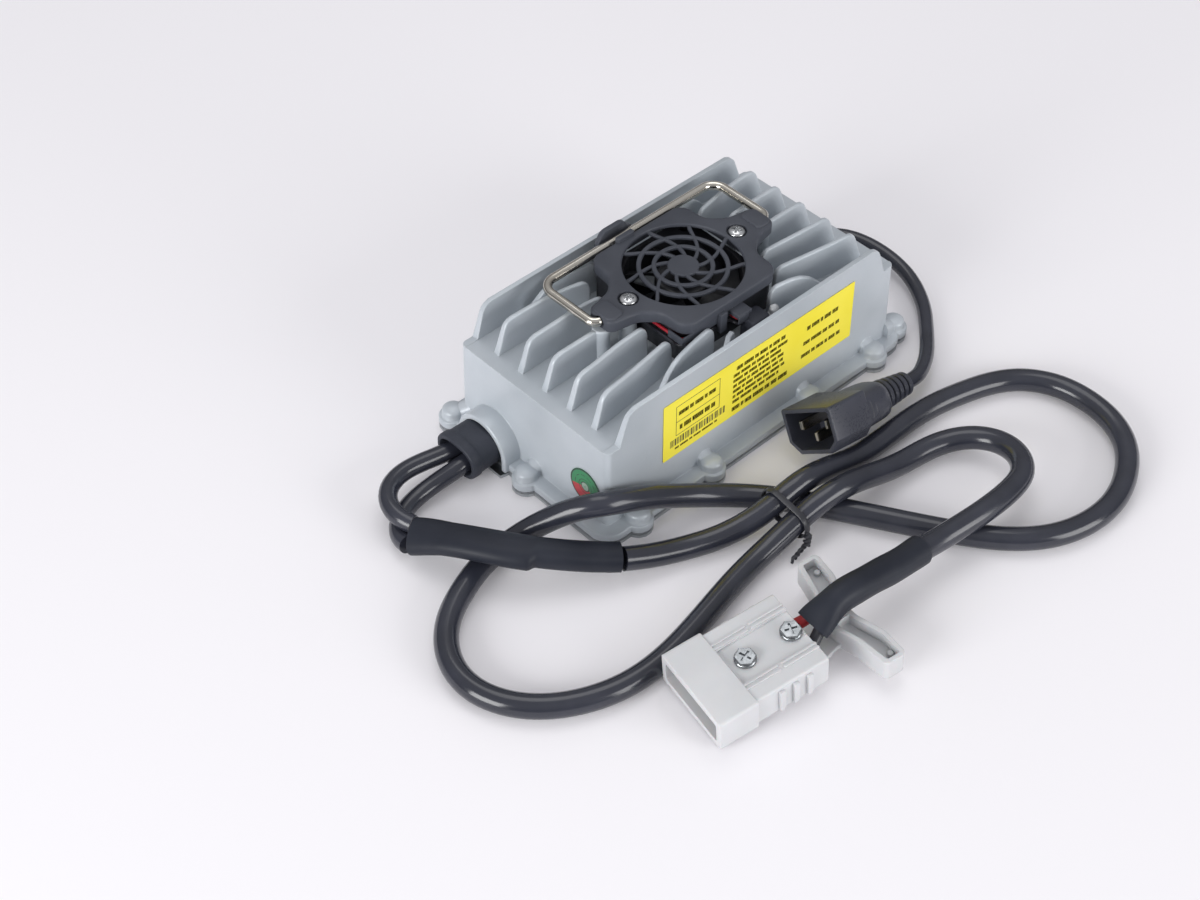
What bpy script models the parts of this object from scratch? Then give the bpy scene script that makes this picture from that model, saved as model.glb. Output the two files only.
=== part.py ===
"""Fan-cooled forklift battery charger with its mains inlet lead and its output lead.

All sizes are in millimetres and turn into metres where a mesh or a curve is made.
The origin is at the middle of the base plate's underside, +Z is up, +X runs from
the output gland to the mains gland, and the rating label faces -Y.
"""
from math import atan2, ceil, cos, pi, radians, sin, tan

import bmesh
import bpy
import numpy as np
from mathutils import Matrix, Vector

MM = 0.001

# Clearances
GAP = 0.3
THREAD_GAP = 0.35

# Housing, a die casting with an open bottom
BODY_HALF_X = 80.0
BODY_HALF_Y = 42.0
BODY_CORNER = 2.5
LEDGE_Z = 43.7
LEDGE_DEPTH = 6.3
FIN_HEIGHT = 15.0
TROUGH_Z = LEDGE_Z - 0.2
CREST_Z = TROUGH_Z + FIN_HEIGHT
NOSE_X = BODY_HALF_X - LEDGE_DEPTH
ROOF_THICKNESS = 3.0
WALL_THICKNESS = 2.8
CREST_WALL = 2.2
CREST_WALL_ROOT = 3.0
DRAFT = tan(radians(1.0))
FIN_THICKNESS = 2.0
FIN_ROOT = 3.0
FIN_EMBED = 1.2

# Flange, base plate and gasket
PLATE_THICKNESS = 1.5
GASKET_THICKNESS = 0.7
GASKET_Z = PLATE_THICKNESS + GAP
FLANGE_Z = GASKET_Z + GASKET_THICKNESS + GAP
FLANGE_TOP = 5.9
FLANGE_REACH = 6.6
FLANGE_HALF_X = BODY_HALF_X + FLANGE_REACH
FLANGE_HALF_Y = BODY_HALF_Y + FLANGE_REACH + 0.2
FLANGE_CORNER = 9.0
LUG_RADIUS = 6.0
LUG_BOSS_RADIUS = 4.5
LUG_TOP = 10.4
LUG_NECK_TOP = 13.0

# Cable arches in the two end walls
ARCH_Z = 8.0
ARCH_RADIUS = 14.1
ARCH_Y = BODY_HALF_Y - ARCH_RADIUS - 6.4
ARCH_FACE_X = FLANGE_HALF_X + 2.1
ARCH_BORE = 12.0
TONGUE_X = ARCH_FACE_X + 1.5
TONGUE_HALF_Y = ARCH_RADIUS + 0.7
GLAND_COLLAR_X = BODY_HALF_X - WALL_THICKNESS - 0.1
GLAND_INNER_X = GLAND_COLLAR_X - 2.5

# Fan, its cover and the bail handle
FAN_SIZE = 50.0
FAN_HALF = FAN_SIZE / 2
FAN_BOTTOM = TROUGH_Z + GAP
FAN_HEIGHT = 15.0
FAN_BORE = FAN_HALF - 1.3
HUB_RADIUS = 11.2
BLADE_RADIUS = FAN_BORE - 0.8
BLADE_COUNT = 7
COVER_BOTTOM = CREST_Z + 0.6
COVER_HEIGHT = 5.2
COVER_TOP = COVER_BOTTOM + COVER_HEIGHT
COVER_SKIN = 1.5
GRILLE_RADIUS = FAN_HALF - 0.7
GRILLE_BAR = 1.3
SPOKE_COUNT = 9
COVER_SCREW_X = FAN_HALF + 4.8
EAR_TIP_X = FAN_HALF + 20.2
HANDLE_WIRE = 3.8
HANDLE_LEG_X = EAR_TIP_X + 2.5
HANDLE_REACH = FAN_HALF + 5.6
HANDLE_BEND = 6.5
HINGE_Z = COVER_BOTTOM + COVER_HEIGHT / 2

# Lamp, lead seal and circuit board
LAMP_PLACE = (16.8, -FAN_HALF - 9.0)
LAMP_FOOT = TROUGH_Z + 6.7
SEAL_BOX = ((3.2, -FAN_HALF - 11.6), (12.6, -FAN_HALF - 3.0))
BOARD_LOW = 9.0
BOARD_TOP = 10.6
BOARD_HALF_X = BODY_HALF_X - 8.5
BOARD_HALF_Y = BODY_HALF_Y - 7.0

# Leads
DC_CORD = 9.5
CORE = 6.5
AC_CORD = 6.3

# Mains plug: where its open face lies, and how it leans
PLUG_FACE = (3.6, -69.0, 19.5)
PLUG_YAW, PLUG_PITCH, PLUG_ROLL = radians(-1.0), radians(10.2), radians(-36.0)
PLUG_LENGTH = 58.0
PLUG_ROOM = 17.0
PLUG_PIN = (2.0, 4.2)

# Output connector: middle of its top face, and how it leans
CONNECTOR_LENGTH = 47.6
CONNECTOR_WIDTH = 36.6
CONNECTOR_HEIGHT = 16.0
BOLT_X = (-0.3, 19.6)
CONNECTOR_TOP = (-95.4, -129.9, 19.8)
CONNECTOR_YAW, CONNECTOR_PITCH, CONNECTOR_ROLL = radians(-10.5), radians(-6.0), radians(2.0)


# Scene and object helpers

def empty_scene():
    for thing in list(bpy.data.objects):
        bpy.data.objects.remove(thing, do_unlink=True)


def new_collection(name, parent=None):
    collection = bpy.data.collections.new(name)
    (parent or bpy.context.scene.collection).children.link(collection)
    return collection


def linear(channel):
    return channel / 12.92 if channel <= 0.04045 else ((channel + 0.055) / 1.055) ** 2.4


def paint(name, hex_colour, roughness, metallic=0.0):
    """Principled material whose colour is given as sRGB hex."""
    material = bpy.data.materials.get(name) or bpy.data.materials.new(name)
    material.use_nodes = True
    shader = material.node_tree.nodes["Principled BSDF"]
    rgb = [linear(int(hex_colour[i:i + 2], 16) / 255) for i in (0, 2, 4)]
    shader.inputs["Base Color"].default_value = (*rgb, 1.0)
    shader.inputs["Roughness"].default_value = roughness
    shader.inputs["Metallic"].default_value = metallic
    material.diffuse_color = (*rgb, 1.0)
    return material


def add_object(name, data, material=None):
    """A finished piece if it has a material, else a hidden cutter or joined shape."""
    thing = bpy.data.objects.new(name, data)
    if material is None:
        cutters.objects.link(thing)
        thing.hide_render = True
        thing.display_type = "WIRE"
    else:
        parts.objects.link(thing)
        data.materials.append(material)
    return thing


def mesh_object(name, bm, material=None):
    """Turn a bmesh in millimetres into an object whose faces point outwards."""
    bmesh.ops.scale(bm, vec=Vector((MM, MM, MM)), verts=bm.verts)
    bmesh.ops.recalc_face_normals(bm, faces=bm.faces)
    mesh = bpy.data.meshes.new(name)
    bm.to_mesh(mesh)
    bm.free()
    mesh.shade_smooth()
    mesh.set_sharp_from_angle(angle=radians(35))
    return add_object(name, mesh, material)


def place(thing, matrix):
    """Move an object by a matrix whose translation is in millimetres."""
    metres = matrix.copy()
    metres.translation = matrix.translation * MM
    thing.matrix_world = metres
    return thing


def pose(origin, yaw, pitch, roll):
    turn = Matrix.Rotation(yaw, 4, "Z") @ Matrix.Rotation(pitch, 4, "Y") @ Matrix.Rotation(roll, 4, "X")
    return Matrix.Translation(Vector(origin)) @ turn


def combine(target, operation, shapes):
    """Boolean of one object with a group of shapes."""
    group = new_collection(f"{target.name}_{operation.lower()}_{len(target.modifiers)}", cutters)
    for shape in shapes:
        cutters.objects.unlink(shape)
        group.objects.link(shape)
    boolean = target.modifiers.new(operation.title(), "BOOLEAN")
    boolean.operation = operation
    boolean.solver = "EXACT"
    boolean.operand_type = "COLLECTION"
    boolean.collection = group
    return target


def join(target, *shapes):
    return combine(target, "UNION", shapes)


def cut(target, *shapes):
    return combine(target, "DIFFERENCE", shapes)


# Shape helpers

def box(name, low, high, material=None):
    bm = bmesh.new()
    bmesh.ops.create_cube(bm, size=1.0)
    low, high = Vector(low), Vector(high)
    bmesh.ops.scale(bm, vec=high - low, verts=bm.verts)
    bmesh.ops.translate(bm, vec=(low + high) / 2, verts=bm.verts)
    return mesh_object(name, bm, material)


def rod(name, radius, start, end, sides=16, material=None, end_radius=None):
    """Cylinder or cone between two points."""
    start, end = Vector(start), Vector(end)
    axis = end - start
    bm = bmesh.new()
    bmesh.ops.create_cone(bm, cap_ends=True, segments=sides, radius1=radius,
                          radius2=radius if end_radius is None else end_radius, depth=axis.length)
    turn = Vector((0, 0, 1)).rotation_difference(axis).to_matrix()
    bmesh.ops.rotate(bm, matrix=turn, verts=bm.verts)
    bmesh.ops.translate(bm, vec=(start + end) / 2, verts=bm.verts)
    return mesh_object(name, bm, material)


def turned(name, profile, sides=16, material=None):
    """Profile of (radius, height), top to bottom, spun about Z by a Screw modifier."""
    mesh = bpy.data.meshes.new(name)
    points = [Vector((radius, 0, height)) * MM for radius, height in profile]
    mesh.from_pydata(points, [(i, i + 1) for i in range(len(points) - 1)], [])
    thing = add_object(name, mesh, material)
    screw = thing.modifiers.new("Spin", "SCREW")
    screw.steps = sides
    screw.render_steps = sides
    screw.use_merge_vertices = True
    screw.merge_threshold = 0.00001
    screw.use_smooth_shade = True
    return thing


PLANES = {
    "XY": lambda u, v, w: (u, v, w),
    "XZ": lambda u, v, w: (u, w, v),
    "YZ": lambda u, v, w: (w, u, v),
}


def extruded(name, outline, low, high, material=None, plane="XY"):
    """Flat outline in a plane, given thickness from low to high along the third axis."""
    bm = bmesh.new()
    lift = PLANES[plane]
    face = bm.faces.new([bm.verts.new(lift(u, v, low)) for u, v in outline])
    raised = bmesh.ops.extrude_face_region(bm, geom=[face])
    for vertex in (item for item in raised["geom"] if isinstance(item, bmesh.types.BMVert)):
        vertex.co += Vector(lift(0, 0, high - low))
    return mesh_object(name, bm, material)


def lofted(name, rings, material=None, closed=False):
    """Skin over rings of equal point count, with flat ends unless the loop closes."""
    bm = bmesh.new()
    rows = [[bm.verts.new(point) for point in ring] for ring in rings]
    pairs = list(zip(rows, rows[1:] + rows[:1])) if closed else list(zip(rows, rows[1:]))
    for row, following in pairs:
        for i in range(len(row)):
            j = (i + 1) % len(row)
            bm.faces.new((row[i], row[j], following[j], following[i]))
    if not closed:
        bm.faces.new(rows[0])
        bm.faces.new(rows[-1])
    return mesh_object(name, bm, material)


def tube(name, points, diameter, material, resolution=3):
    """Round tube with closed ends along a list of points."""
    curve = bpy.data.curves.new(name, "CURVE")
    curve.dimensions = "3D"
    curve.bevel_depth = diameter / 2 * MM
    curve.bevel_resolution = resolution
    curve.use_fill_caps = True
    spline = curve.splines.new("POLY")
    spline.points.add(len(points) - 1)
    for target, point in zip(spline.points, points):
        target.co = (*(Vector(point) * MM), 1.0)
        target.radius = 1.0
    spline.use_smooth = True
    return add_object(name, curve, material)


def rounded_outline(corners, arc_step=radians(24)):
    """Closed outline whose corners (x, y, radius) become arcs."""
    points = []
    for index, (x, y, radius) in enumerate(corners):
        here = Vector((x, y))
        if radius == 0:
            points.append((x, y))
            continue
        before = (Vector(corners[index - 1][:2]) - here).normalized()
        after = (Vector(corners[(index + 1) % len(corners)][:2]) - here).normalized()
        half = before.angle(after) / 2
        centre = here + (before + after).normalized() * radius / sin(half)
        start = here + before * radius / tan(half) - centre
        first = atan2(start.y, start.x)
        sweep = (pi - 2 * half) * (1 if before.cross(after) < 0 else -1)
        steps = max(1, ceil(abs(sweep) / arc_step))
        for step in range(steps + 1):
            angle = first + sweep * step / steps
            points.append((centre.x + radius * cos(angle), centre.y + radius * sin(angle)))
    return points


def rectangle(half_x, half_y, radius, centre=(0.0, 0.0)):
    x, y = centre
    return rounded_outline([(x + half_x, y + half_y, radius), (x - half_x, y + half_y, radius),
                            (x - half_x, y - half_y, radius), (x + half_x, y - half_y, radius)])


def circle(radius, sides, centre=(0.0, 0.0)):
    angles = [2 * pi * step / sides for step in range(sides)]
    return [(centre[0] + radius * cos(a), centre[1] + radius * sin(a)) for a in angles]


def at_height(outline, z):
    return [(x, y, z) for x, y in outline]


def at_station(outline, x):
    return [(x, y, z) for y, z in outline]


def arch_outline(radius, bottom, sides=16):
    """Half round over straight sides, in the YZ plane."""
    arc = [(ARCH_Y + radius * cos(pi * i / sides), ARCH_Z + radius * sin(pi * i / sides))
           for i in range(sides + 1)]
    return [(ARCH_Y - radius, bottom), (ARCH_Y + radius, bottom)] + arc


def smooth_route(points, spacing):
    """Evenly spaced points on the natural cubic spline through hand-chosen points."""
    knots = np.array(points, dtype=float)
    steps = np.sqrt(np.linalg.norm(np.diff(knots, axis=0), axis=1))
    count = len(knots)
    system = np.eye(count)
    rise = np.zeros_like(knots)
    for i in range(1, count - 1):
        system[i, i - 1:i + 2] = (steps[i - 1], 2 * (steps[i - 1] + steps[i]), steps[i])
        rise[i] = 6 * ((knots[i + 1] - knots[i]) / steps[i] - (knots[i] - knots[i - 1]) / steps[i - 1])
    bend = np.linalg.solve(system, rise)
    fine = []
    for i in range(count - 1):
        for t in np.linspace(0, steps[i], 24, endpoint=(i == count - 2)):
            back, ahead = steps[i] - t, t
            fine.append((bend[i] * back ** 3 + bend[i + 1] * ahead ** 3) / (6 * steps[i])
                        + (knots[i] / steps[i] - bend[i] * steps[i] / 6) * back
                        + (knots[i + 1] / steps[i] - bend[i + 1] * steps[i] / 6) * ahead)
    fine = np.array(fine)
    run = np.concatenate(([0.0], np.cumsum(np.linalg.norm(np.diff(fine, axis=0), axis=1))))
    stations = np.linspace(0, run[-1], max(2, round(run[-1] / spacing) + 1))
    return np.stack([np.interp(stations, run, fine[:, axis]) for axis in range(3)], axis=1)


def run_length(line):
    return np.concatenate(([0.0], np.cumsum(np.linalg.norm(np.diff(line, axis=0), axis=1))))


def swept_rings(line, section):
    """Rings along a line. section(fraction) gives (sideways, upwards) points and a roll."""
    rings = []
    tangents = np.gradient(line, axis=0)
    run = run_length(line)
    for point, tangent, distance in zip(line, tangents, run):
        outline, roll = section(distance / run[-1])
        forward = Vector(tangent).normalized()
        side = Vector((0, 0, 1)).cross(forward).normalized()
        up = forward.cross(side)
        across = side * cos(roll) + up * sin(roll)
        above = up * cos(roll) - side * sin(roll)
        rings.append([Vector(point) + across * u + above * v for u, v in outline])
    return rings


def oval(half_width, half_height, sides=16, power=2.6):
    """Superellipse outline, flatter than an ellipse."""
    points = []
    for step in range(sides):
        a = 2 * pi * step / sides
        u = half_width * abs(cos(a)) ** (2 / power) * (1 if cos(a) >= 0 else -1)
        v = half_height * abs(sin(a)) ** (2 / power) * (1 if sin(a) >= 0 else -1)
        points.append((u, v))
    return points


empty_scene()
parts = new_collection("forklift_battery_charger")
cutters = new_collection("cutters")

cast_grey = paint("cast_aluminium_grey", "A9B1B5", 0.55, 0.35)
plate_steel = paint("zinc_plated_steel", "C3C7C8", 0.35, 1.0)
bright_steel = paint("bright_steel", "D4D0C6", 0.22, 1.0)
black_plastic = paint("black_fan_plastic", "3F4046", 0.55)
black_rubber = paint("black_rubber", "25262A", 0.7)
cord_black = paint("black_cord_jacket", "2B2C33", 0.4)
grey_nylon = paint("grey_nylon", "C9CBCD", 0.5)
label_yellow = paint("yellow_label", "F4E64A", 0.45)


# Housing

def lug_places():
    """Twelve screw lugs around the flange: (x, y)."""
    corner = (FLANGE_HALF_X - 2.6, FLANGE_HALF_Y - 4.3)
    ends = [(-FLANGE_HALF_X + 1.4, -1.5), (-corner[0], corner[1]),
            (FLANGE_HALF_X - 0.4, -FLANGE_HALF_Y + 7.8), corner]
    sides = [(share * BODY_HALF_X, side * (FLANGE_HALF_Y - 2.0)) for side in (-1, 1)
             for share in (-0.85, -0.354, 0.354, 0.8375)]
    return ends + sides


# Fin ends as (distance from the end, share of the fin's height)
FIN_NOSE = ((0.0, 0.033), (2.0, 0.413), (3.7, 0.753), (4.6, 0.873), (6.0, 0.953), (8.0, 1.0))
FIN_TIP = ((0.0, 0.70), (0.6, 0.86), (1.9, 0.953), (4.0, 1.0))
FIN_RAMP = ((0.0, 0.033), (3.0, 0.3), (7.0, 0.62), (11.0, 0.84), (15.0, 0.96), (19.0, 1.0))
RIB_END = ((0.0, 0.6), (0.8, 0.733))

# Fin centre lines, outer end first: (points, outer end profile)
OUTER_FIN = 0.662 * BODY_HALF_Y
INNER_FIN = 0.331 * BODY_HALF_Y
WALL_FIN = BODY_HALF_Y - 4.6
LONG_FINS = (
    ((-NOSE_X, OUTER_FIN), (-0.76 * NOSE_X, OUTER_FIN - 0.4), (-40.2, OUTER_FIN - 2.0), (-29.0, 23.2)),
    ((-NOSE_X, INNER_FIN), (-0.76 * NOSE_X, INNER_FIN + 0.1), (-41.0, 14.0), (-30.5, 12.6)),
    ((-NOSE_X, 0.0), (-0.81 * NOSE_X, 0.0), (-45.0, 0.0)),
    ((-NOSE_X, -INNER_FIN), (-0.81 * NOSE_X, -INNER_FIN + 0.7), (-46.0, -11.6), (-31.0, -10.9)),
    ((-NOSE_X, -OUTER_FIN), (-0.76 * NOSE_X, -OUTER_FIN + 1.6), (-44.0, -24.6), (-29.5, -22.6)),
    ((NOSE_X, OUTER_FIN), (0.81 * NOSE_X, OUTER_FIN - 0.2), (48.0, OUTER_FIN - 1.4), (32.0, 23.6)),
    ((NOSE_X, INNER_FIN), (0.81 * NOSE_X, INNER_FIN), (38.8, 13.2)),
    ((NOSE_X, 0.0), (0.81 * NOSE_X, 0.0), (45.0, 0.0)),
    ((NOSE_X, -INNER_FIN), (0.81 * NOSE_X, -INNER_FIN + 0.3), (47.0, -12.5), (32.8, -11.2)),
    ((NOSE_X, -OUTER_FIN), (0.81 * NOSE_X, -OUTER_FIN + 1.0), (44.0, -24.4), (29.5, -21.9)),
)
SHORT_FINS = (
    ((-52.0, -WALL_FIN), (-40.0, -WALL_FIN + 3.6), (-26.0, -30.6), (-12.3, -28.5)),
    ((48.0, -WALL_FIN + 0.6), (34.0, -31.6), (24.0, -29.4), (19.5, -28.6)),
    ((-51.0, WALL_FIN - 0.6), (-38.0, 33.2), (-26.0, 31.0), (-19.0, 30.2)),
    ((49.0, WALL_FIN - 2.0), (36.0, 32.6), (23.6, 30.6), (12.0, 30.2)),
)
SMALL_RIB = ((-5.4, -33.0), (-9.5, -34.4), (-13.5, -WALL_FIN - 0.2))


def fin(name, path, outer, inner):
    line = smooth_route([(x, y, 0.0) for x, y in path], 1.0)
    run = run_length(line)
    outer, inner = ([(d, share * FIN_HEIGHT) for d, share in profile] for profile in (outer, inner))
    middle = np.arange(outer[-1][0] + 7.0, run[-1] - inner[-1][0] - 4.0, 7.0)
    stations = list(outer) + [(d, outer[-1][1]) for d in middle]
    stations += [(run[-1] - d, height) for d, height in reversed(inner)]
    tangents = np.gradient(line, axis=0)
    rings = []
    for distance, height in stations:
        x, y = (np.interp(distance, run, line[:, axis]) for axis in (0, 1))
        along = Vector([np.interp(distance, run, tangents[:, axis]) for axis in (0, 1)]).normalized()
        side = Vector((-along.y, along.x, 0.0))
        foot = Vector((x, y, TROUGH_Z - FIN_EMBED))
        top = Vector((x, y, TROUGH_Z + height))
        half = (FIN_ROOT + (FIN_THICKNESS - FIN_ROOT) * height / FIN_HEIGHT) / 2
        rings.append([foot - side * FIN_ROOT / 2, foot + side * FIN_ROOT / 2, top + side * half,
                      top - side * half])
    return lofted(name, rings)


def lug(index, x, y):
    """Lobe with a domed boss, and a neck that slopes up to the wall."""
    profile = ((0, LUG_TOP), (2.8, LUG_TOP - 0.4), (LUG_BOSS_RADIUS, LUG_TOP - 1.9),
               (LUG_BOSS_RADIUS, FLANGE_TOP + 0.6), (LUG_RADIUS, FLANGE_TOP), (LUG_RADIUS, FLANGE_Z),
               (0, FLANGE_Z))
    lobe = turned(f"lug_{index:02d}", profile, 14)
    place(lobe, Matrix.Translation((x, y, 0)))
    inward = Vector((BODY_HALF_X - 2 if x > 0 else 2 - BODY_HALF_X, y, 0)) - Vector((x, y, 0))
    if abs(y) > BODY_HALF_Y:
        inward.y = (BODY_HALF_Y - 2 - abs(y)) * (1 if y > 0 else -1)
        inward.x = inward.x if abs(x) > BODY_HALF_X else 0.0
    side = Vector((-inward.y, inward.x, 0)).normalized()
    rings = []
    for share, half, top in ((0.0, 3.0, LUG_TOP - 1.4), (1.0, 4.0, LUG_NECK_TOP)):
        foot = Vector((x, y, 0)) + inward * share
        outline = ((-half, FLANGE_Z + 0.5), (half, FLANGE_Z + 0.5), (half, top - 1.8), (half - 1.6, top),
                   (1.6 - half, top), (-half, top - 1.8))
        rings.append([foot + side * u + Vector((0, 0, w)) for u, w in outline])
    return [lobe, lofted(f"lug_neck_{index:02d}", rings)]


def body_ring(z):
    grow = (LEDGE_Z - z) * DRAFT
    return at_height(rectangle(BODY_HALF_X + grow, BODY_HALF_Y + grow, BODY_CORNER), z)


def make_housing():
    housing = lofted("housing", [body_ring(FLANGE_Z), body_ring(CREST_Z)], cast_grey)
    bevel = 0.6
    flange = lofted("flange", [
        at_height(rectangle(FLANGE_HALF_X, FLANGE_HALF_Y, FLANGE_CORNER), FLANGE_Z),
        at_height(rectangle(FLANGE_HALF_X, FLANGE_HALF_Y, FLANGE_CORNER), FLANGE_TOP - bevel),
        at_height(rectangle(FLANGE_HALF_X - bevel, FLANGE_HALF_Y - bevel, FLANGE_CORNER - bevel),
                  FLANGE_TOP)])
    outside = [flange]
    for index, (x, y) in enumerate(lug_places()):
        outside += lug(index, x, y)
    for end in (-1, 1):
        rings = [at_station(arch_outline(ARCH_RADIUS, FLANGE_Z), end * (BODY_HALF_X - 2)),
                 at_station(arch_outline(ARCH_RADIUS, FLANGE_Z), end * (ARCH_FACE_X - bevel)),
                 at_station(arch_outline(ARCH_RADIUS - bevel, FLANGE_Z), end * ARCH_FACE_X)]
        outside.append(lofted(f"arch_{end}", rings))
    join(housing, *outside)

    far = BODY_HALF_X + 30
    over = CREST_Z + 16.5
    inside = []
    for end in (-1, 1):
        nose = [(end * (NOSE_X - d), LEDGE_Z + (share - FIN_NOSE[0][1]) * FIN_HEIGHT)
                for d, share in FIN_NOSE[1:-1]]
        nose += [(end * (NOSE_X - FIN_NOSE[-1][0] - 1.0), CREST_Z + 0.3)]
        outline = [(end * far, LEDGE_Z), (end * NOSE_X, LEDGE_Z)] + nose
        outline += [(nose[-1][0], over), (end * far, over)]
        inside.append(extruded(f"end_notch_{end}", outline, -BODY_HALF_Y - 18, BODY_HALF_Y + 18, plane="XZ"))
    wall_slope = (CREST_WALL_ROOT - CREST_WALL) / FIN_HEIGHT
    trough_low = BODY_HALF_Y - CREST_WALL_ROOT
    trough = [at_height(rectangle(far, trough_low, 0), TROUGH_Z),
              at_height(rectangle(far, trough_low + wall_slope * (over - TROUGH_Z), 0), over)]
    inside.append(lofted("trough", trough))
    roof = TROUGH_Z - ROOF_THICKNESS
    room_x, room_y = BODY_HALF_X - WALL_THICKNESS, BODY_HALF_Y - WALL_THICKNESS
    inside.append(lofted("cavity", [
        at_height(rectangle(room_x + roof * DRAFT, room_y + roof * DRAFT, 3.0), -2.0),
        at_height(rectangle(room_x, room_y, 3.0), roof)]))
    for end in (-1, 1):
        bore = [at_station(arch_outline(ARCH_BORE, -2.0), end * (BODY_HALF_X - 10)),
                at_station(arch_outline(ARCH_BORE, -2.0), end * (ARCH_FACE_X + 6))]
        inside.append(lofted(f"arch_bore_{end}", bore))
    for index, (x, y) in enumerate(lug_places()):
        inside.append(extruded(f"lug_hole_{index:02d}", circle(1.7, 10, (x, y)), -2.0, 9.3))
    cut(housing, *inside)

    added = [fin(f"fin_{i}", path, FIN_NOSE, FIN_TIP) for i, path in enumerate(LONG_FINS)]
    added += [fin(f"short_fin_{i}", path, FIN_RAMP, FIN_TIP) for i, path in enumerate(SHORT_FINS)]
    added.append(fin("small_rib", SMALL_RIB, RIB_END, RIB_END))
    root = TROUGH_Z - FIN_EMBED
    for x in (-COVER_SCREW_X, COVER_SCREW_X):
        added.append(rod("screw_boss", 3.4, (x, 0, root), (x, 0, COVER_BOTTOM - GAP), 14))
    for x in (-EAR_TIP_X + 1, EAR_TIP_X - 1):
        added.append(rod("ear_column", 3.5, (x, 0, root + 0.1), (x, 0, CREST_Z - 0.2), 14))
    added.append(rod("lamp_post", 2.6, (*LAMP_PLACE, root), (*LAMP_PLACE, LAMP_FOOT - GAP), 12))
    for x in (-BOARD_HALF_X + 7.5, BOARD_HALF_X - 7.5):
        for y in (-BOARD_HALF_Y + 4, BOARD_HALF_Y - 4):
            added.append(rod("standoff", 3.0, (x, y, BOARD_TOP + GAP), (x, y, roof + 1.0), 12))
    join(housing, *added)

    holes = [rod("boss_hole", 1.3 + THREAD_GAP, (x, 0, COVER_BOTTOM - 11), (x, 0, COVER_TOP), 10)
             for x in (-COVER_SCREW_X, COVER_SCREW_X)]
    lead_y = -FAN_HALF - 7
    holes.append(rod("lead_hole", 2.0, (8.0, lead_y, TROUGH_Z - 6), (8.0, lead_y, TROUGH_Z + 2), 10))
    cut(housing, *holes)
    return housing


# Base plate, gasket and screws

def base_outline_shapes(prefix, low, high):
    shapes = [extruded(f"{prefix}_lobe_{i:02d}", circle(LUG_RADIUS, 14, place_xy), low, high)
              for i, place_xy in enumerate(lug_places())]
    for end in (-1, 1):
        root = BODY_HALF_X + 2
        tongue = [(end * root, ARCH_Y - TONGUE_HALF_Y), (end * TONGUE_X, ARCH_Y - TONGUE_HALF_Y + 2),
                  (end * TONGUE_X, ARCH_Y + TONGUE_HALF_Y - 2), (end * root, ARCH_Y + TONGUE_HALF_Y)]
        shapes.append(extruded(f"{prefix}_tongue_{end}", tongue, low, high))
    return shapes


def make_base():
    outline = rectangle(FLANGE_HALF_X, FLANGE_HALF_Y, FLANGE_CORNER)
    plate = extruded("base_plate", outline, 0.0, PLATE_THICKNESS, plate_steel)
    join(plate, *base_outline_shapes("plate", 0.0, PLATE_THICKNESS))
    sink = ((0, 3.0), (1.8, 3.0), (1.8, 1.25), (3.35, -0.3), (0, -0.3))
    cut(plate, *[place(turned(f"sink_{i:02d}", sink, 10), Matrix.Translation((x, y, 0)))
                 for i, (x, y) in enumerate(lug_places())])

    top = GASKET_Z + GASKET_THICKNESS
    gasket = extruded("base_gasket", outline, GASKET_Z, top, black_rubber)
    join(gasket, *base_outline_shapes("gasket", GASKET_Z, top)[:-2])
    openings = [extruded("gasket_window", rectangle(BODY_HALF_X - 1.8, BODY_HALF_Y - 1.8, 3.0), 0.0, 5.0)]
    openings += [extruded(f"gasket_hole_{i:02d}", circle(1.9, 10, place_xy), 0.0, 5.0)
                 for i, place_xy in enumerate(lug_places())]
    cut(gasket, *openings)

    screw_profile = ((0, 9.0), (1.3, 9.0), (1.3, 1.5), (2.5, 0.2), (0, 0.2))
    for i, (x, y) in enumerate(lug_places()):
        screw = turned(f"base_screw_{i + 1:02d}", screw_profile, 10, plate_steel)
        place(screw, Matrix.Translation((x, y, 0)))


# Glands in the two arches

def make_output_gland():
    """Oval rubber grommet with an open mouth from which the two cores come."""
    middle = (ARCH_Y, 10.7)

    def station(x, half_y, half_z):
        return [(x, middle[0] + u, middle[1] + v) for u, v in oval(half_y, half_z)]

    rings = [at_station(collar_outline(), -GLAND_INNER_X), at_station(collar_outline(), -GLAND_COLLAR_X)]
    lip = -ARCH_FACE_X - 13.3
    rings += [station(-GLAND_COLLAR_X, 10.6, 7.8), station(lip + 4.4, 10.9, 7.8),
              station(lip + 3.6, 11.4, 8.2), station(lip + 0.6, 11.4, 8.2), station(lip, 10.9, 7.8)]
    gland = lofted("output_gland", rings, black_rubber)
    mouth = [station(lip + 10, 8.8, 5.6), station(lip - 2, 9.4, 6.2)]
    cut(gland, lofted("gland_mouth", mouth))


def collar_outline():
    """Collar behind the end wall, with as many points as an oval."""
    points = []
    for u, v in oval(13.6, 9.8, power=4.0):
        points.append((ARCH_Y + u, FLANGE_Z + 9.8 + v))
    return points


# Boot line as (distance past the arch's face, sideways, height)
MAINS_BOOT_ROUTE = ((-3.7, 0.0, 8.6), (0.1, 0.0, 8.5), (5.3, -0.3, 8.4), (11.3, -1.6, 8.4),
                    (16.1, -3.7, 8.4), (19.9, -6.7, 8.3))


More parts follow.
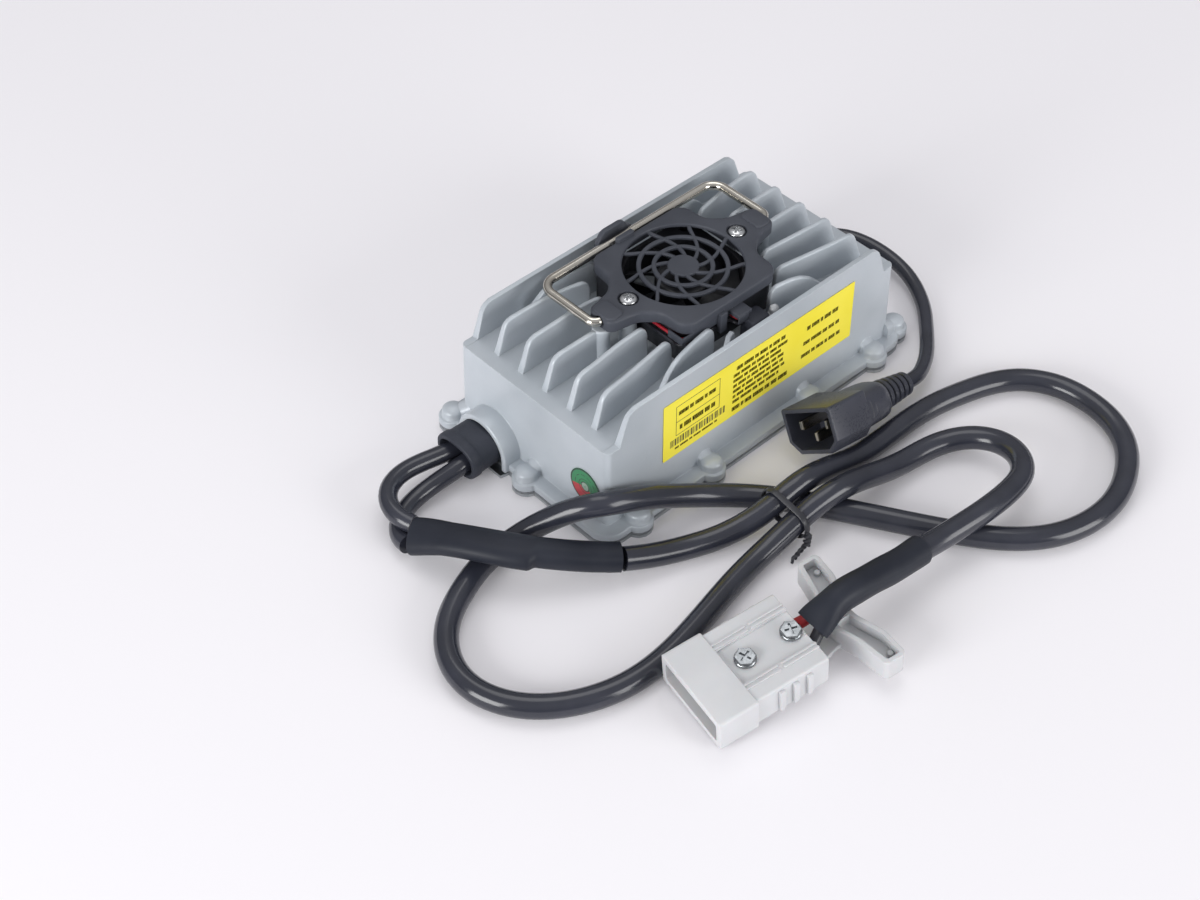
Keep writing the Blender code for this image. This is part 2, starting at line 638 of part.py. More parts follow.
def make_mains_gland():
    gland = lofted("mains_gland", [at_station(collar_outline(), GLAND_INNER_X),
                                   at_station(collar_outline(), GLAND_COLLAR_X)], black_rubber)
    plug_outline = arch_outline(ARCH_BORE - GAP, FLANGE_Z + 0.05)
    plug = lofted("gland_plug", [at_station(plug_outline, GLAND_COLLAR_X - 1),
                                 at_station(plug_outline, ARCH_FACE_X + 0.6)])

    route = [(ARCH_FACE_X + x, ARCH_Y + y, z) for x, y, z in MAINS_BOOT_ROUTE]

    def section(share):
        radius = 5.6 - 1.3 * share
        return oval(radius, radius, 14, 2.0), 0.0

    boot = lofted("mains_boot", swept_rings(smooth_route(route, 2.2), section))
    join(gland, plug, boot)


# Fan under the cover

def make_fan():
    low, high = FAN_BOTTOM, FAN_BOTTOM + FAN_HEIGHT
    hole = FAN_HALF - 5
    frame = extruded("fan_frame", rectangle(FAN_HALF, FAN_HALF, 3.0), low, high, black_plastic)
    cut(frame, extruded("fan_bore", circle(FAN_BORE, 36), low + 2.2, high + 1),
        *[extruded(f"fan_window_{k}", fan_window(k), low - 1, low + 3) for k in range(3)],
        *[extruded(f"fan_hole_{x}_{y}", circle(2.1, 8, (x * hole, y * hole)), low - 1, high + 1)
          for x in (-1, 1) for y in (-1, 1)])
    stator_low = low + 2.2 + GAP
    stator = extruded("fan_stator", circle(HUB_RADIUS - 2.8, 18), stator_low, low + 11.0, black_rubber)
    cut(stator, extruded("stator_bore", circle(1.5 + GAP, 10), stator_low - 1, low + 12.0))
    cup_low, cup_high = low + 3.0, high - 0.8
    inside = HUB_RADIUS - 1.6
    profile = ((0, cup_high), (HUB_RADIUS - 1, cup_high), (HUB_RADIUS, cup_high - 1),
               (HUB_RADIUS, cup_low), (inside, cup_low), (inside, cup_high - 1.8), (1.5, cup_high - 1.8),
               (1.5, cup_low + 0.6), (0, cup_low + 0.6))
    rotor = turned("fan_rotor", profile, 24, black_plastic)
    join(rotor, *[blade(k, cup_low, cup_high) for k in range(BLADE_COUNT)])


def fan_window(index):
    """One of three openings between the struts that carry the motor."""
    inner, outer = HUB_RADIUS - 0.2, BLADE_RADIUS + 0.1
    first = 2 * pi * index / 3 + radians(9)
    last = 2 * pi * (index + 1) / 3 - radians(9)
    angles = np.linspace(first, last, 9)
    rim = [(outer * cos(a), outer * sin(a)) for a in angles]
    return rim + [(inner * cos(a), inner * sin(a)) for a in reversed(angles)]


def blade(index, low, high):
    """Pitched blade, swept forward towards its tip."""
    rings = []
    half_thickness = 0.55
    for radius in np.linspace(HUB_RADIUS - 1.0, BLADE_RADIUS, 5):
        share = (radius - HUB_RADIUS) / (BLADE_RADIUS - HUB_RADIUS)
        centre = 2 * pi * index / BLADE_COUNT + radians(14) * share
        spread = radians(19) - radians(3) * share
        ring = []
        for turn, z in ((-spread, low + 1.2), (spread, high - 1.4)):
            for offset in (-half_thickness, half_thickness):
                shift = offset if turn < 0 else -offset
                a = centre + turn
                ring.append((radius * cos(a), radius * sin(a), z + shift))
        rings.append(ring)
    return lofted(f"blade_{index}", rings)


# Fan cover with its grille, ears and handle clip

def cover_outline(inset=0.0):
    """Lobed outline: corner lobes over the fan and two ears that carry the handle."""
    quarter = [(EAR_TIP_X, 6.2, 3.4), (FAN_HALF + 7.6, 8.6, 9.0), (FAN_HALF + 1.3, 14.6, 6.0),
               (FAN_HALF + 0.4, FAN_HALF + 2.6, 6.0)]
    corners = [(x, y, r) for x, y, r in quarter]
    corners += [(-x, y, r) for x, y, r in reversed(quarter)]
    corners += [(-x, -y, r) for x, y, r in quarter]
    corners += [(x, -y, r) for x, y, r in reversed(quarter)]
    outline = rounded_outline(corners, radians(30))
    if inset == 0:
        return outline
    moved = []
    for i, point in enumerate(outline):
        along = Vector(outline[(i + 1) % len(outline)]) - Vector(outline[i - 1])
        inward = Vector((-along.y, along.x)).normalized()
        moved.append(tuple(Vector(point) + inward * inset))
    return moved


def ring_shape(name, radius, width, low, high, sides=36):
    profile = ((radius + width / 2, high), (radius + width / 2, low), (radius - width / 2, low),
               (radius - width / 2, high), (radius + width / 2, high))
    return turned(name, profile, sides)


def spoke(index, low, high):
    """Curved grille bar from the centre disc to the rim."""
    rings = []
    start = 2 * pi * index / SPOKE_COUNT
    for radius in np.linspace(4.0, GRILLE_RADIUS + 0.8, 9):
        angle = start - radians(62) * max(0.0, 1 - radius / GRILLE_RADIUS) ** 1.5
        x, y = radius * cos(angle), radius * sin(angle)
        lean = angle + pi / 2
        side = Vector((cos(lean), sin(lean), 0)) * GRILLE_BAR / 2
        rings.append([Vector((x, y, low)) - side, Vector((x, y, low)) + side,
                      Vector((x, y, high)) + side, Vector((x, y, high)) - side])
    return lofted(f"spoke_{index}", rings)


def make_cover():
    top = COVER_TOP
    edge = 0.7
    cover = lofted("fan_cover", [at_height(cover_outline(), COVER_BOTTOM),
                                 at_height(cover_outline(), top - edge),
                                 at_height(cover_outline(edge), top)], black_plastic)
    skin = top - COVER_SKIN
    hollow = extruded("cover_hollow", rectangle(FAN_HALF + 0.6, FAN_HALF + 0.6, 4.0), COVER_BOTTOM - 1, skin)
    hollow_cut = [hollow, extruded("grille_hole", circle(GRILLE_RADIUS, 40), COVER_BOTTOM, top + 1)]
    for side in (-1, 1):
        hollow_cut.append(rod("ear_bore", HANDLE_WIRE / 2 + 0.25, (side * (EAR_TIP_X - 4.6), 0, HINGE_Z),
                              (side * (EAR_TIP_X + 5), 0, HINGE_Z), 14))
        hollow_cut.append(rod("screw_recess", 4.1, (side * COVER_SCREW_X, 0, top - 1.5),
                              (side * COVER_SCREW_X, 0, top + 1), 18))
        hollow_cut.append(rod("screw_way", 1.3 + THREAD_GAP, (side * COVER_SCREW_X, 0, COVER_BOTTOM - 2),
                              (side * COVER_SCREW_X, 0, top), 10))
    cut(cover, *hollow_cut)
    bar_low, bar_high = top - 1.9, top - 0.35
    grille = [extruded("grille_disc", circle(0.26 * GRILLE_RADIUS, 20), bar_low, bar_high + 0.1)]
    grille += [ring_shape(f"grille_ring_{i}", radius, GRILLE_BAR, bar_low - 0.05 * i, bar_high - 0.05 * i)
               for i, radius in enumerate((0.477 * GRILLE_RADIUS, 0.724 * GRILLE_RADIUS))]
    grille += [spoke(k, bar_low + 0.1, bar_high - 0.2) for k in range(SPOKE_COUNT)]
    clip_floor = HINGE_Z - HANDLE_WIRE / 2 - GAP
    clip_low = CREST_Z + GAP
    lip_y = HANDLE_REACH + HANDLE_WIRE / 2 + 0.5
    lip_top = HINGE_Z + 1.3
    side_y = FAN_HALF + 2.6
    grille += [box("clip_floor", (-15, side_y - 0.7, clip_low), (4, lip_y + 0.1, clip_floor)),
               extruded("clip_lip", rounded_outline([(4, clip_low + 0.05, 0), (4, lip_top, 3),
                                                     (-15, lip_top, 3), (-15, clip_low + 0.05, 0)]),
                        lip_y, lip_y + 1.5, plane="XZ"),
               box("clip_back", (-9, side_y - 1.6, COVER_BOTTOM + 1), (-2.5, side_y + 0.7, top + 0.9)),
               box("snap_leg", (-8.4, -side_y - 1.8, COVER_BOTTOM - 7.1),
                   (-4.8, -side_y + 0.4, COVER_BOTTOM + 2))]
    join(cover, *grille)


def make_cover_screws():
    head_low = COVER_TOP - 1.5 + GAP
    tip = COVER_BOTTOM - 10.1
    for index, x in enumerate((-COVER_SCREW_X, COVER_SCREW_X)):
        profile = ((0, head_low + 2.0), (1.8, head_low + 1.9), (3.0, head_low + 1.3),
                   (3.5, head_low + 0.4), (3.5, head_low), (1.3, head_low), (1.3, tip), (0, tip))
        screw = turned(f"cover_screw_{index + 1}", profile, 16, bright_steel)
        place(screw, Matrix.Translation((x, 0, 0)))
        arm = [box(f"cross_{index}_{turn}", (-2.1, -0.45, head_low + 1.0), (2.1, 0.45, head_low + 3.0))
               for turn in range(2)]
        place(arm[0], Matrix.Translation((x, 0, 0)) @ Matrix.Rotation(0.5, 4, "Z"))
        place(arm[1], Matrix.Translation((x, 0, 0)) @ Matrix.Rotation(0.5 + pi / 2, 4, "Z"))
        cut(screw, *arm)


def make_handle():
    """Bail of round wire: its ends turn inwards into the ears of the cover."""
    pin_x = EAR_TIP_X - 4.2
    corner = [(-pin_x, 0.0, 0), (-HANDLE_LEG_X, 0.0, 3.4), (-HANDLE_LEG_X, HANDLE_REACH, HANDLE_BEND),
              (HANDLE_LEG_X, HANDLE_REACH, HANDLE_BEND), (HANDLE_LEG_X, 0.0, 3.4), (pin_x, 0.0, 0)]
    outline = rounded_outline(corner, radians(15))
    handle = tube("carry_handle", [(x, y, 0.0) for x, y in outline], HANDLE_WIRE, bright_steel, 3)
    place(handle, Matrix.Translation((0, 0, HINGE_Z)))


# Fan leads, their seal, and the charge lamp

def make_leads():
    (x0, y0), (x1, y1) = SEAL_BOX
    centre = ((x0 + x1) / 2, (y0 + y1) / 2)
    outline = rectangle((x1 - x0) / 2, (y1 - y0) / 2, 2.0, centre)
    inner = rectangle((x1 - x0) / 2 - 1.0, (y1 - y0) / 2 - 1.0, 1.4, centre)
    lofted("fan_lead_seal", [at_height(outline, TROUGH_Z + GAP), at_height(outline, TROUGH_Z + 9.7),
                             at_height(inner, TROUGH_Z + 10.9)], black_rubber)
    edge = FAN_HALF + 1.1
    way = -FAN_HALF - 5.6
    for name, z, material in (("fan_lead_red", TROUGH_Z + 11.9, paint("red_lead", "B01E2A", 0.45)),
                              ("fan_lead_black", TROUGH_Z + 10.0, cord_black)):
        outline = rounded_outline([(-edge, -6.0, 0), (-edge, -edge, 3.6), (-1.0, -edge, 3.0),
                                   (-0.4, way, 2.0), (x0 - GAP, way, 0)], radians(22))
        tube(name, [(x, y, z - 0.45 * max(0.0, x + 1)) for x, y in outline], 1.4, material, 1)


def make_lamp():
    foot = LAMP_FOOT
    profile = ((0, foot + 4.6), (0.9, foot + 4.4), (1.6, foot + 3.7), (1.9, foot + 2.7), (1.9, foot + 0.8),
               (2.3, foot + 0.8), (2.3, foot), (0, foot))
    lamp = turned("charge_lamp", profile, 12, paint("clear_lens", "E8EAEA", 0.2))
    place(lamp, Matrix.Translation((*LAMP_PLACE, 0)))


# Label and sticker, thin plates on the drafted walls

def make_labels():
    lean = radians(1.0)
    middle = 0.7975 * LEDGE_Z
    wall_y = -(BODY_HALF_Y + (LEDGE_Z - middle) * DRAFT)
    label = extruded("rating_label", rectangle(0.666 * BODY_HALF_X, 0.333 * LEDGE_Z, 0.6), 0.0, 0.12,
                     label_yellow)
    place(label, Matrix.Translation((2.0, wall_y - 0.2, middle)) @ Matrix.Rotation(pi / 2 - lean, 4, "X"))
    middle = 0.435 * LEDGE_Z
    wall_x = -(BODY_HALF_X + (LEDGE_Z - middle) * DRAFT)
    sticker = extruded("round_sticker", circle(8.2, 28), 0.0, 0.12, paint("sticker_green", "2F8F4E", 0.4))
    turn = Matrix.Rotation(-pi / 2, 4, "Z") @ Matrix.Rotation(pi / 2 - lean, 4, "X")
    place(sticker, Matrix.Translation((wall_x - 0.2, -BODY_HALF_Y + 11.5, middle)) @ turn)


# Power circuit inside the housing

def make_circuit():
    board = paint("circuit_board", "1F6B3A", 0.5)
    ferrite = paint("ferrite", "3A3B3E", 0.6)
    copper = paint("enamelled_copper", "B3622D", 0.35, 0.6)
    sleeve = paint("capacitor_sleeve", "23304F", 0.4)
    tape = paint("yellow_tape", "E3C23A", 0.5)
    bare = paint("bare_aluminium", "C5C8CA", 0.35, 1.0)
    seat = BOARD_TOP + GAP
    clear = TROUGH_Z - ROOF_THICKNESS - seat
    step, row = BOARD_HALF_X / 14.3, BOARD_HALF_Y / 7
    grid = min(step, row)
    extruded("circuit_board", rectangle(BOARD_HALF_X, BOARD_HALF_Y, 1.0), BOARD_LOW, BOARD_TOP, board)
    low, high, top = seat + 0.2 * clear, seat + 0.68 * clear, seat + 0.88 * clear
    core = box("transformer_core", (-2.4 * step, -2.8 * row, seat), (4.4 * step, 2.8 * row, top), ferrite)
    cut(core, box("core_window", (-1.2 * step, -4 * row, low), (3.2 * step, 4 * row, high)))
    box("transformer_winding", (-1.2 * step + GAP, -3.4 * row, low + GAP),
        (3.2 * step - GAP, 3.4 * row, high - GAP), tape)
    radius, can_top = 1.8 * grid, seat + 0.91 * clear
    can = ((0, can_top), (radius - 0.8, can_top), (radius, can_top - 0.8), (radius, seat), (0, seat))
    for index, y in enumerate((-2.3 * row, 2.3 * row)):
        place(turned(f"bulk_capacitor_{index + 1}", can, 20, sleeve), Matrix.Translation((8 * step, y, 0)))
    radius, can_top = 1.24 * grid, seat + 0.74 * clear
    small = ((0, can_top), (radius - 0.6, can_top), (radius, can_top - 0.6), (radius, seat), (0, seat))
    place(turned("output_capacitor", small, 16, sleeve), Matrix.Translation((-11 * step, -1.6 * row, 0)))
    for name, x, y, outer in (("line_choke", 12.1 * step, -1.6 * row, 1.9 * grid),
                              ("output_choke", -6.4 * step, 1.6 * row, 2.4 * grid)):
        bore, height = 0.42 * outer, 0.34 * clear
        profile = ((outer - 1, height), (outer, height - 1), (outer, 1), (outer - 1, 0), (bore, 0),
                   (bore, height), (outer - 1, height))
        place(turned(name, profile, 20, copper), Matrix.Translation((x, y, seat)))
    bar_y, bar_top = -BOARD_HALF_Y + 0.5, seat + 0.68 * clear
    bar = box("heat_bar", (-11.6 * step, bar_y, seat), (10 * step, bar_y + 4.5, bar_top), bare)
    cut(bar, *[box(f"bar_slot_{x}", (x * step, bar_y - 1, seat + 0.4 * clear),
                   (x * step + 2, bar_y + 6, bar_top + 4)) for x in (-8, -2, 4)])
    fuse_x, fuse_z = 11.2 * step, seat + 2.8
    rod("line_fuse", 2.6, (fuse_x, 2.8 * row, fuse_z), (fuse_x, 6.8 * row, fuse_z), 12,
        paint("fuse_glass", "D9DDDE", 0.2))
    box("power_transistor", (-7.6 * step, bar_y + 4.8, seat + 1),
        (-4.4 * step, bar_y + 9.5, seat + 0.64 * clear), black_plastic)


# Output lead: two cores, a splice sleeve, the cord, a flared sleeve and the connector

MOUTH_X = -ARCH_FACE_X - 3.6
CORE_A_ROUTE = ((MOUTH_X, ARCH_Y + 3.8, 10.2), (MOUTH_X - 10.3, ARCH_Y + 4.9, 10.3),
                (MOUTH_X - 19.7, ARCH_Y + 6.7, 10.5), (-122.0, 29.1, 10.7),
                (-131.2, 26.2, 10.9), (-136.8, 19.4, 10.9), (-137.9, 11.8, 10.4), (-136.3, 6.0, 9.8))
CORE_B_ROUTE = ((MOUTH_X, ARCH_Y - 3.7, 9.9), (MOUTH_X - 10.3, ARCH_Y - 3.5, 8.6),
                (MOUTH_X - 19.7, ARCH_Y - 1.9, 6.2), (-122.0, 20.2, 4.2),
                (-130.6, 18.2, 3.6), (-137.2, 14.0, 3.6), (-141.0, 8.2, 4.4), (-142.0, 2.4, 5.7))
SPLICE_ROUTE = ((-138.7, 2.4, 7.9), (-134.2, -7.6, 11.7), (-127.7, -22.4, 15.5), (-119.4, -35.4, 15.8),
                (-108.6, -46.4, 13.8), (-97.8, -54.6, 11.0), (-90.0, -60.0, 9.4))
DC_ROUTE = (
    (-89.1, -60.6, 9.1), (-78.0, -65.4, 6.6), (-66.0, -70.0, 5.2), (-54.0, -74.6, 5.3),
    (-42.0, -78.6, 7.6), (-30.0, -81.2, 11.6), (-16.0, -82.4, 14.9), (-2.0, -82.8, 12.6),
    (11.0, -82.8, 8.0), (24.0, -82.6, 5.3), (45.0, -82.4, 4.8), (62.0, -83.6, 4.8), (76.0, -86.6, 4.8),
    (90.0, -91.4, 4.8), (101.0, -98.8, 4.8), (108.5, -110.4, 4.8), (110.8, -124.0, 4.8),
    (108.6, -138.0, 4.8), (102.2, -149.6, 4.8), (92.9, -157.8, 4.8), (80.6, -164.0, 4.8),
    (67.3, -166.6, 4.8), (54.0, -165.4, 4.8), (42.0, -161.0, 4.8), (31.5, -153.6, 4.8),
    (21.5, -142.6, 4.8), (11.2, -127.4, 4.8), (0.6, -110.2, 4.8), (-9.0, -94.4, 4.8),
    (-18.4, -80.0, 4.8), (-29.0, -67.2, 5.0), (-42.0, -57.8, 7.4), (-53.6, -53.2, 12.0),
    (-64.6, -50.4, 17.2), (-75.4, -48.4, 21.8), (-85.6, -45.2, 24.5), (-91.6, -40.2, 22.8),
    (-96.6, -34.8, 18.8), (-101.2, -30.1, 14.2), (-106.7, -25.9, 9.6), (-113.0, -23.4, 6.2),
    (-120.4, -22.8, 4.9), (-128.8, -24.2, 4.8), (-136.6, -26.8, 4.8), (-150.0, -33.2, 4.8),
    (-160.6, -42.4, 4.8), (-167.0, -54.6, 4.8),
    (-167.6, -67.8, 4.8), (-162.6, -80.0, 4.8), (-154.0, -89.6, 4.8), (-143.0, -96.6, 4.8),
    (-130.0, -101.2, 4.8), (-115.0, -102.8, 4.8), (-98.0, -101.2, 4.8), (-79.0, -97.4, 4.8),
    (-62.0, -94.0, 4.8), (-47.0, -92.2, 5.4), (-34.0, -92.2, 8.4), (-22.0, -93.2, 12.6),
    (-9.0, -94.6, 14.9), (4.0, -95.6, 12.8), (17.0, -96.4, 8.6), (29.5, -97.2, 6.0), (41.0, -98.6, 5.7),
    (51.0, -102.4, 6.6), (58.6, -109.6, 8.2), (61.6, -119.6, 10.2), (58.8, -129.6, 12.2),
    (51.2, -136.8, 13.8), (41.2, -139.6, 14.7), (31.0, -140.2, 15.1), (20.7, -139.8, 15.1),
    (9.7, -138.7, 14.9), (-0.6, -137.6, 15.0), (-8.6, -137.0, 15.9))
FLARE_ROUTE = ((-9.6, -136.9, 16.1), (-22.0, -136.9, 17.9), (-35.0, -136.6, 20.8), (-46.0, -136.2, 22.8),
               (-53.4, -135.8, 23.3), (-59.6, -135.5, 21.4), (-66.2, -135.0, 17.4))


def make_output_lead():
    tube("dc_core_a", smooth_route(CORE_A_ROUTE, 4.0), CORE, cord_black)
    tube("dc_core_b", smooth_route(CORE_B_ROUTE, 4.0), CORE, cord_black)

    def splice_section(share):
        early = max(0.0, 1.0 - share / 0.18)
        if share < 0.58:
            width, height, shift = 7.5, 4.5, 0.0
        else:
            width, height, shift = 6.0, 5.2, 0.9
        outline = [(u + shift, v) for u, v in oval(width, height, 14, 2.3)]
        return outline, radians(24) * early

    lofted("splice_sleeve", swept_rings(smooth_route(SPLICE_ROUTE, 4.0), splice_section), black_rubber)
    tube("dc_cord", smooth_route(DC_ROUTE, 12.4), DC_CORD, cord_black)

    def flare_section(share):
        spread = min(1.0, max(0.0, (share - 0.78) / 0.2))
        return oval(5.8 + 2.6 * spread, 5.8 - 1.6 * spread, 14, 2.1), 0.0

    lofted("connector_sleeve", swept_rings(smooth_route(FLARE_ROUTE, 4.2), flare_section), black_rubber)


def make_tie():
    """Band round the two passes of the cord, with a twisted end."""
    first, second = Vector((-81.4, 12.0)), Vector((-92.6, 10.1))
    radius = DC_CORD / 2 + 1.35
    across = (second - first).normalized()
    start = atan2(-across.y, -across.x)
    path = [first + Vector((cos(start + a), sin(start + a))) * radius
            for a in np.linspace(pi / 2, -pi / 2, 9)]
    path += [second + Vector((cos(start + a), sin(start + a))) * radius
             for a in np.linspace(-pi / 2, -3 * pi / 2, 9)]
    centre = (first + second) / 2
    rings = []
    for point in path:
        outward = (point - centre).normalized()
        rings.append([(-29.0 + w, point.x + outward.x * t, point.y + outward.y * t)
                      for w, t in ((-1.4, -0.35), (1.4, -0.35), (1.4, 0.4), (-1.4, 0.4))])
    tie = lofted("cord_tie", rings, cord_black, closed=True)
    knot = rod("tie_knot", 2.2, (-30.0, -100.0, 9.6), (-30.6, -100.2, 4.6), 10)
    tail = rod("tie_tail", 1.2, (-30.2, -100.0, 6.4), (-39.5, -100.6, 2.2), 8)
    join(tie, knot, tail)


def make_connector():
    """Two-pole connector in a rectangular nylon shell, front end at local -X."""
    lean = pose(CONNECTOR_TOP, CONNECTOR_YAW, CONNECTOR_PITCH, CONNECTOR_ROLL)
    half_x, half_y = CONNECTOR_LENGTH / 2, CONNECTOR_WIDTH / 2
    bottom = -CONNECTOR_HEIGHT
    hood_end = -7.2

    def local(thing):
        return place(thing, lean)

    shell = local(extruded("connector_housing", rectangle(half_y, CONNECTOR_HEIGHT / 2, 1.2,
                                                          (0, bottom / 2)), -half_x, hood_end,
                           grey_nylon, "YZ"))
    body = extruded("connector_body", rectangle(half_y - 1.2, CONNECTOR_HEIGHT / 2 - 0.6, 1.0,
                                                (0, bottom / 2)), hood_end - 1, half_x, plane="YZ")
    rails = [box(f"rail_{y}_{x}", (x, y - 0.45, -1.6), (x + 15.0, y + 0.45, -0.1))
             for y in (-11.0, -9.2, 9.2, 11.0) for x in (-7.6, 8.8)]
    grips = [box(f"grip_{x}_{side}", (x, side * 17.6 - 0.9, bottom + 2), (x + 2.2, side * 17.6 + 0.6, -2.6))
             for x in (2.0, 8.0, 14.0) for side in (-1, 1)]
    join(shell, *[local(shape) for shape in [body] + rails + grips])
    mouth = extruded("mouth", rectangle(half_y - 2.6, 5.0, 1.0, (0, bottom / 2)), -half_x - 1, -9.5,
                     plane="YZ")
    tray = box("tray", (hood_end + 0.2, -8.2, -1.6), (half_x + 1, 8.2, 1.0))
    ways = [rod(f"wire_way_{y}", 4.1, (14, y, bottom / 2), (30, y, bottom / 2), 12) for y in (-6.8, 6.8)]
    screws = [rod(f"bolt_way_{x}", 1.9, (x, 0, bottom - 1), (x, 0, 1), 10) for x in BOLT_X]
    cut(shell, *[local(shape) for shape in [mouth, tray] + ways + screws])
    for index, y in enumerate((-8.0, 8.0)):
        local(box(f"contact_{index + 1}", (-21.0, y - 4.2, -9.4), (-9.5 - GAP, y + 4.2, -6.6), bright_steel))
    for name, side, material in (("conductor_red", 1, paint("red_core", "A8232B", 0.5)),
                                 ("conductor_black", -1, cord_black)):
        local(rod(name, 2.3, (18.0, side * 6.8, bottom / 2), (25.4, side * 5.2, bottom / 2), 10, material))
    for index, x in enumerate(BOLT_X):
        profile = ((0, 0.9), (2.9, 0.9), (3.3, 0.4), (3.3, -1.3), (1.5, -1.3), (1.5, bottom - 2.4),
                   (0, bottom - 2.4))
        bolt = turned(f"connector_bolt_{index + 1}", profile, 6, plate_steel)
        local(bolt)
        bolt.matrix_world = bolt.matrix_world @ Matrix.Translation(Vector((x, 0, 0)) * MM)
    make_connector_handle(local, bottom)


def make_connector_handle(local, bottom):
    """T-shaped pull: a plate under the shell, a stem, and two hollow arms."""
    top = bottom - GAP
    low = top - 2.4
    plate = [(-8.0, 10.0, 2.0), (24.0, 10.0, 3.0), (36.0, 6.5, 3.0), (46.0, 9.0, 0), (46.0, -9.0, 0),
             (36.0, -6.5, 3.0), (24.0, -10.0, 3.0), (-8.0, -10.0, 2.0)]
    pull = local(extruded("connector_handle", rounded_outline(plate[::-1]), low, top, grey_nylon))
    rim = -8.5
    arms = []
    pockets = []
    for side in (-1, 1):
        arm = [(35.5, 0.6, 0), (36.5, 5.0, 3.0), (39.5, 13.0, 7.0), (41.8, 27.0, 2.2), (51.0, 27.0, 2.2),
               (50.6, 15.0, 8.0), (46.5, 4.0, 4.0), (46.0, 0.6, 0)]
        pocket = [(38.0, 2.2, 0.3), (38.6, 6.0, 2.0), (41.3, 13.0, 6.0), (43.6, 25.2, 0.8),
                  (49.2, 25.2, 0.8), (48.8, 15.6, 6.0), (45.0, 6.0, 3.0), (44.2, 2.2, 0.3)]
        arms.append(extruded(f"arm_{side}", rounded_outline([(x, side * y, r) for x, y, r in arm]),
                             low + 0.1, rim))
        pockets.append(extruded(f"arm_pocket_{side}",
                                rounded_outline([(x, side * y, r) for x, y, r in pocket]), rim - 5.0, 0.0))
    holes = [rod(f"pull_hole_{x}", 1.9, (x, 0, low - 1), (x, 0, top + 1), 10) for x in BOLT_X]
    join(pull, *[local(shape) for shape in arms])
    cut(pull, *[local(shape) for shape in pockets + holes])
    pegs = [rod(f"arm_peg_{side}", 1.3, (47.6, side * 21.8, rim - 5.4), (47.6, side * 21.8, rim - 3.4), 10)
            for side in (-1, 1)]
    join(pull, *[local(peg) for peg in pegs])


# Mains lead and its inlet plug

AC_ROUTE = ((ARCH_FACE_X + 20.28, ARCH_Y - 7.0, 8.3), (ARCH_FACE_X + 23.7, ARCH_Y - 10.8, 8.1),
            (ARCH_FACE_X + 26.5, ARCH_Y - 16.3, 7.8), (117.1, -1.6, 7.2),
            (117.9, -9.4, 6.4), (117.4, -18.0, 5.4), (115.0, -26.6, 4.6), (110.8, -34.8, 4.0),
            (105.0, -42.6, 3.8), (97.8, -49.8, 4.0), (89.6, -57.2, 4.7), (80.8, -63.8, 5.8),
            (71.2, -68.7, 7.3), (66.0, -69.9, 8.25), (61.05, -70.0, 9.15))


def make_mains_lead():
    tube("ac_cord", smooth_route(AC_ROUTE, 6.0), AC_CORD, cord_black)
    lean = pose(PLUG_FACE, PLUG_YAW, PLUG_PITCH, PLUG_ROLL)
    half_y, half_z = 13.5, 9.5
    shroud = [(half_y, half_z, 1.2), (-half_y, half_z, 1.2), (-half_y, 5.0 - half_z, 0.8),
              (5.0 - half_y, -half_z, 0.8), (half_y - 5.0, -half_z, 0.8), (half_y, 5.0 - half_z, 0.8)]
    wall = 1.8
    room = [(half_y - wall, half_z - wall, 0.8), (wall - half_y, half_z - wall, 0.8),
            (wall - half_y, 5.2 - half_z, 0.4), (5.8 - half_y, wall - half_z, 0.4),
            (half_y - 5.8, wall - half_z, 0.4), (half_y - wall, 5.2 - half_z, 0.4)]
    plug = place(extruded("ac_plug", rounded_outline(shroud), 0.0, 21.0, black_rubber, "YZ"), lean)
    rings = []
    for x, width, height, power in ((20.5, 11.6, 8.4, 3.6), (23.0, 11.4, 8.2, 3.2), (30.0, 11.0, 8.2, 2.8),
                                    (36.0, 10.4, 8.0, 2.6), (39.0, 8.2, 7.0, 2.4), (40.5, 5.6, 5.6, 2.0),
                                    (PLUG_LENGTH, 4.0, 4.0, 2.0)):
        rings.append(at_station(oval(width, height, 16, power), x))
    grip = place(lofted("plug_grip", rings), lean)
    ribs = []
    for index in range(5):
        x = 42.5 + 3.2 * index
        radius = 5.9 - 0.3 * index
        ribs.append(place(rod(f"relief_rib_{index}", radius, (x, 0, 0), (x + 1.6, 0, 0), 14), lean))
    join(plug, grip, *ribs)
    cut(plug, place(extruded("plug_room", rounded_outline(room), -1.0, PLUG_ROOM, plane="YZ"), lean))
    pin_y, pin_z = PLUG_PIN
    for name, y, z in (("plug_pin_line", 7.0, 1.6), ("plug_pin_neutral", -7.0, 1.6),
                       ("plug_pin_earth", 0.0, -3.2)):
        pin = box(name, (2.4, y - pin_y / 2, z - pin_z / 2),
                  (PLUG_ROOM - GAP, y + pin_y / 2, z + pin_z / 2), bright_steel)
        place(pin, lean)


make_housing()
make_base()
make_output_gland()
make_mains_gland()
make_fan()
make_cover()
make_cover_screws()
make_handle()
make_leads()
make_lamp()
make_labels()
make_circuit()
make_output_lead()
make_tie()
make_connector()
make_mains_lead()
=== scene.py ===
"""Looks of the forklift battery charger: its cast housing, fan, bail and leads.

Lengths are written in millimetres and turn into metres where a mesh is made. The
origin is the middle of the base plate's underside, and +Z is up.
"""
from math import atan2, ceil, cos, pi, radians, sin, tan

import bmesh
import bpy
import numpy as np
from mathutils import Matrix, Vector


